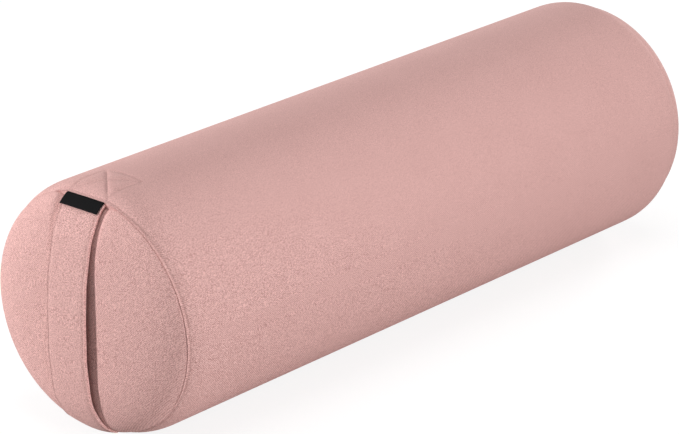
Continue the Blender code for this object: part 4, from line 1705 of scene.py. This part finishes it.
@dataclass
class Studio:
    """A plain pale floor, soft lamps, and the camera at the photograph's viewing angle."""

    azimuth: float = math.radians(-48.8943)
    elevation: float = math.radians(20.7416)
    roll: float = math.radians(-0.1495)
    distance: float = 2.86496
    look_at: tuple[float, float, float] = (-0.01846, 0.0, 0.10325)
    frame_width: float = 679.0
    frame_height: float = 434.0
    sensor_width: float = 36.0
    focal_pixels: float = 3312.99
    middle: tuple[float, float] = (342.89, 215.23)
    aim: tuple[float, float, float] = (-0.1, 0.0, 0.1)
    sky: float = 0.12
    floor_colour: str = "#BEBDBC"
    floor_shade: float = 0.22
    floor_white: float = 0.86
    lamps: tuple[tuple[str, tuple[float, float, float], float, float], ...] = (
        ("key_softbox", (-1.96, 1.50, 0.60), 0.25, 48.0),
        ("side_softbox", (-0.20, -2.8, 0.30), 0.6, 45.0),
        ("far_softbox", (2.6, 0.6, 0.7), 0.6, 27.0),
        ("top_softbox", (-0.2, -0.3, 2.5), 2.0, 31.0),
    )

    def camera(self) -> None:
        """Sets the camera where the photograph was taken from."""
        a, e, r = self.azimuth, self.elevation, self.roll
        back = Vector((math.sin(a) * math.cos(e), -math.cos(a) * math.cos(e), math.sin(e)))
        right = Vector((math.cos(a), math.sin(a), 0.0))
        up = back.cross(right)
        across = right * math.cos(r) + up * math.sin(r)
        upward = up * math.cos(r) - right * math.sin(r)
        data = bpy.data.cameras.new("camera")
        data.sensor_width = self.sensor_width
        data.lens = self.focal_pixels * self.sensor_width / self.frame_width
        data.shift_x = -(self.middle[0] - self.frame_width / 2) / self.frame_width
        data.shift_y = (self.middle[1] - self.frame_height / 2) / self.frame_width
        data.clip_start, data.clip_end = 0.05, 60.0
        camera = bpy.data.objects.new("camera", data)
        turn = Matrix((across, upward, back)).transposed().to_4x4()
        camera.matrix_world = Matrix.Translation(Vector(self.look_at) + back * self.distance) @ turn
        bpy.context.scene.collection.objects.link(camera)
        bpy.context.scene.camera = camera

    def floor(self) -> None:
        """A wide pale floor that shows white where nothing shades it, and keeps the shadow."""
        bpy.ops.object.select_all(action="DESELECT")
        bpy.ops.mesh.primitive_plane_add(size=40.0, location=(0, 0, 0))
        floor = named("studio_floor")
        with editing(floor):
            bpy.ops.mesh.select_all(action="SELECT")
            bpy.ops.mesh.subdivide(number_cuts=3)
        material = bpy.data.materials.new("white seamless paper")
        material.use_nodes = True
        tree = material.node_tree
        tree.nodes.clear()
        seen = self.seen(tree)
        diffuse = "ShaderNodeBsdfDiffuse"
        paper = add_node(tree, diffuse, {"Color": linear(self.floor_colour)})
        shaded = add_node(tree, diffuse, {"Color": (*[self.floor_shade] * 3, 1.0)})
        white = add_node(tree, "ShaderNodeEmission", {"Color": (*[self.floor_white] * 3, 1.0)})
        lit = add_node(tree, "ShaderNodeAddShader", {0: shaded, 1: white})
        shown = add_node(tree, "ShaderNodeMixShader", {0: seen, 1: paper, 2: lit})
        add_node(tree, "ShaderNodeOutputMaterial", {"Surface": shown})
        floor.data.materials.append(material)

    def seen(self, tree: Tree) -> Socket:
        """A socket that is 1 where the camera sees a surface, straight, in a gloss or through glass."""
        first = add_node(tree, "ShaderNodeLightPath", {}, "Is Camera Ray")
        rays = first.node.outputs
        first = calculate(tree, "MAXIMUM", first, rays["Is Glossy Ray"])
        return calculate(tree, "MAXIMUM", first, rays["Is Transmission Ray"])

    def light(self) -> None:
        """Lights the bolster with an even sky and four softboxes."""
        world = bpy.data.worlds.new("studio")
        bpy.context.scene.world = world
        world.use_nodes = True
        tree = world.node_tree
        tree.nodes.clear()
        seen = self.seen(tree)
        plain = (1.0, 1.0, 1.0, 1.0)
        sky = add_node(tree, "ShaderNodeBackground", {"Color": plain, "Strength": self.sky})
        white = add_node(tree, "ShaderNodeBackground", {"Color": plain, "Strength": 1.0})
        shown = add_node(tree, "ShaderNodeMixShader", {0: seen, 1: sky, 2: white})
        add_node(tree, "ShaderNodeOutputWorld", {"Surface": shown})
        for name, spot, size, power in self.lamps:
            data = bpy.data.lights.new(name, "AREA")
            data.shape = "DISK"
            data.size = size
            data.energy = power
            lamp = bpy.data.objects.new(name, data)
            lamp.location = spot
            aim = Vector(self.aim) - Vector(spot)
            lamp.rotation_euler = aim.to_track_quat("-Z", "Y").to_euler()
            bpy.context.scene.collection.objects.link(lamp)

    def make(self) -> None:
        """Builds the studio."""
        self.camera()
        self.floor()
        self.light()
        bpy.context.scene.view_settings.view_transform = "Standard"


def main() -> None:
    """Builds the bolster's looks piece by piece, and then the studio."""
    logging.basicConfig(level=logging.INFO, format="%(name)s: %(message)s")
    form = BolsterForm()
    cover_cotton = COVER_COTTON.make()
    thread = THREAD.make()
    cover = CoverCloth(form)
    cover.make(cover_cotton)
    for name, upper in (("box_stitches_upper", True), ("box_stitches_lower", False)):
        stitches = Stitching(name).sew(cover.box_rows(upper))
        dress(stitches, thread, "cover_cotton")
    CarryHandle(form).make(HANDLE_COTTON.make(), WEBBING.make(), LABEL_DAMASK.make(), thread)
    Zip(form).make(ZIP_TAPE.make(), ZIP_NYLON.make(), NICKEL.make(), thread)
    Filling(form).make(LINING_COTTON.make(), WADDING.make(), FOAM.make())
    Studio().make()


if __name__ == "__main__":
    main()
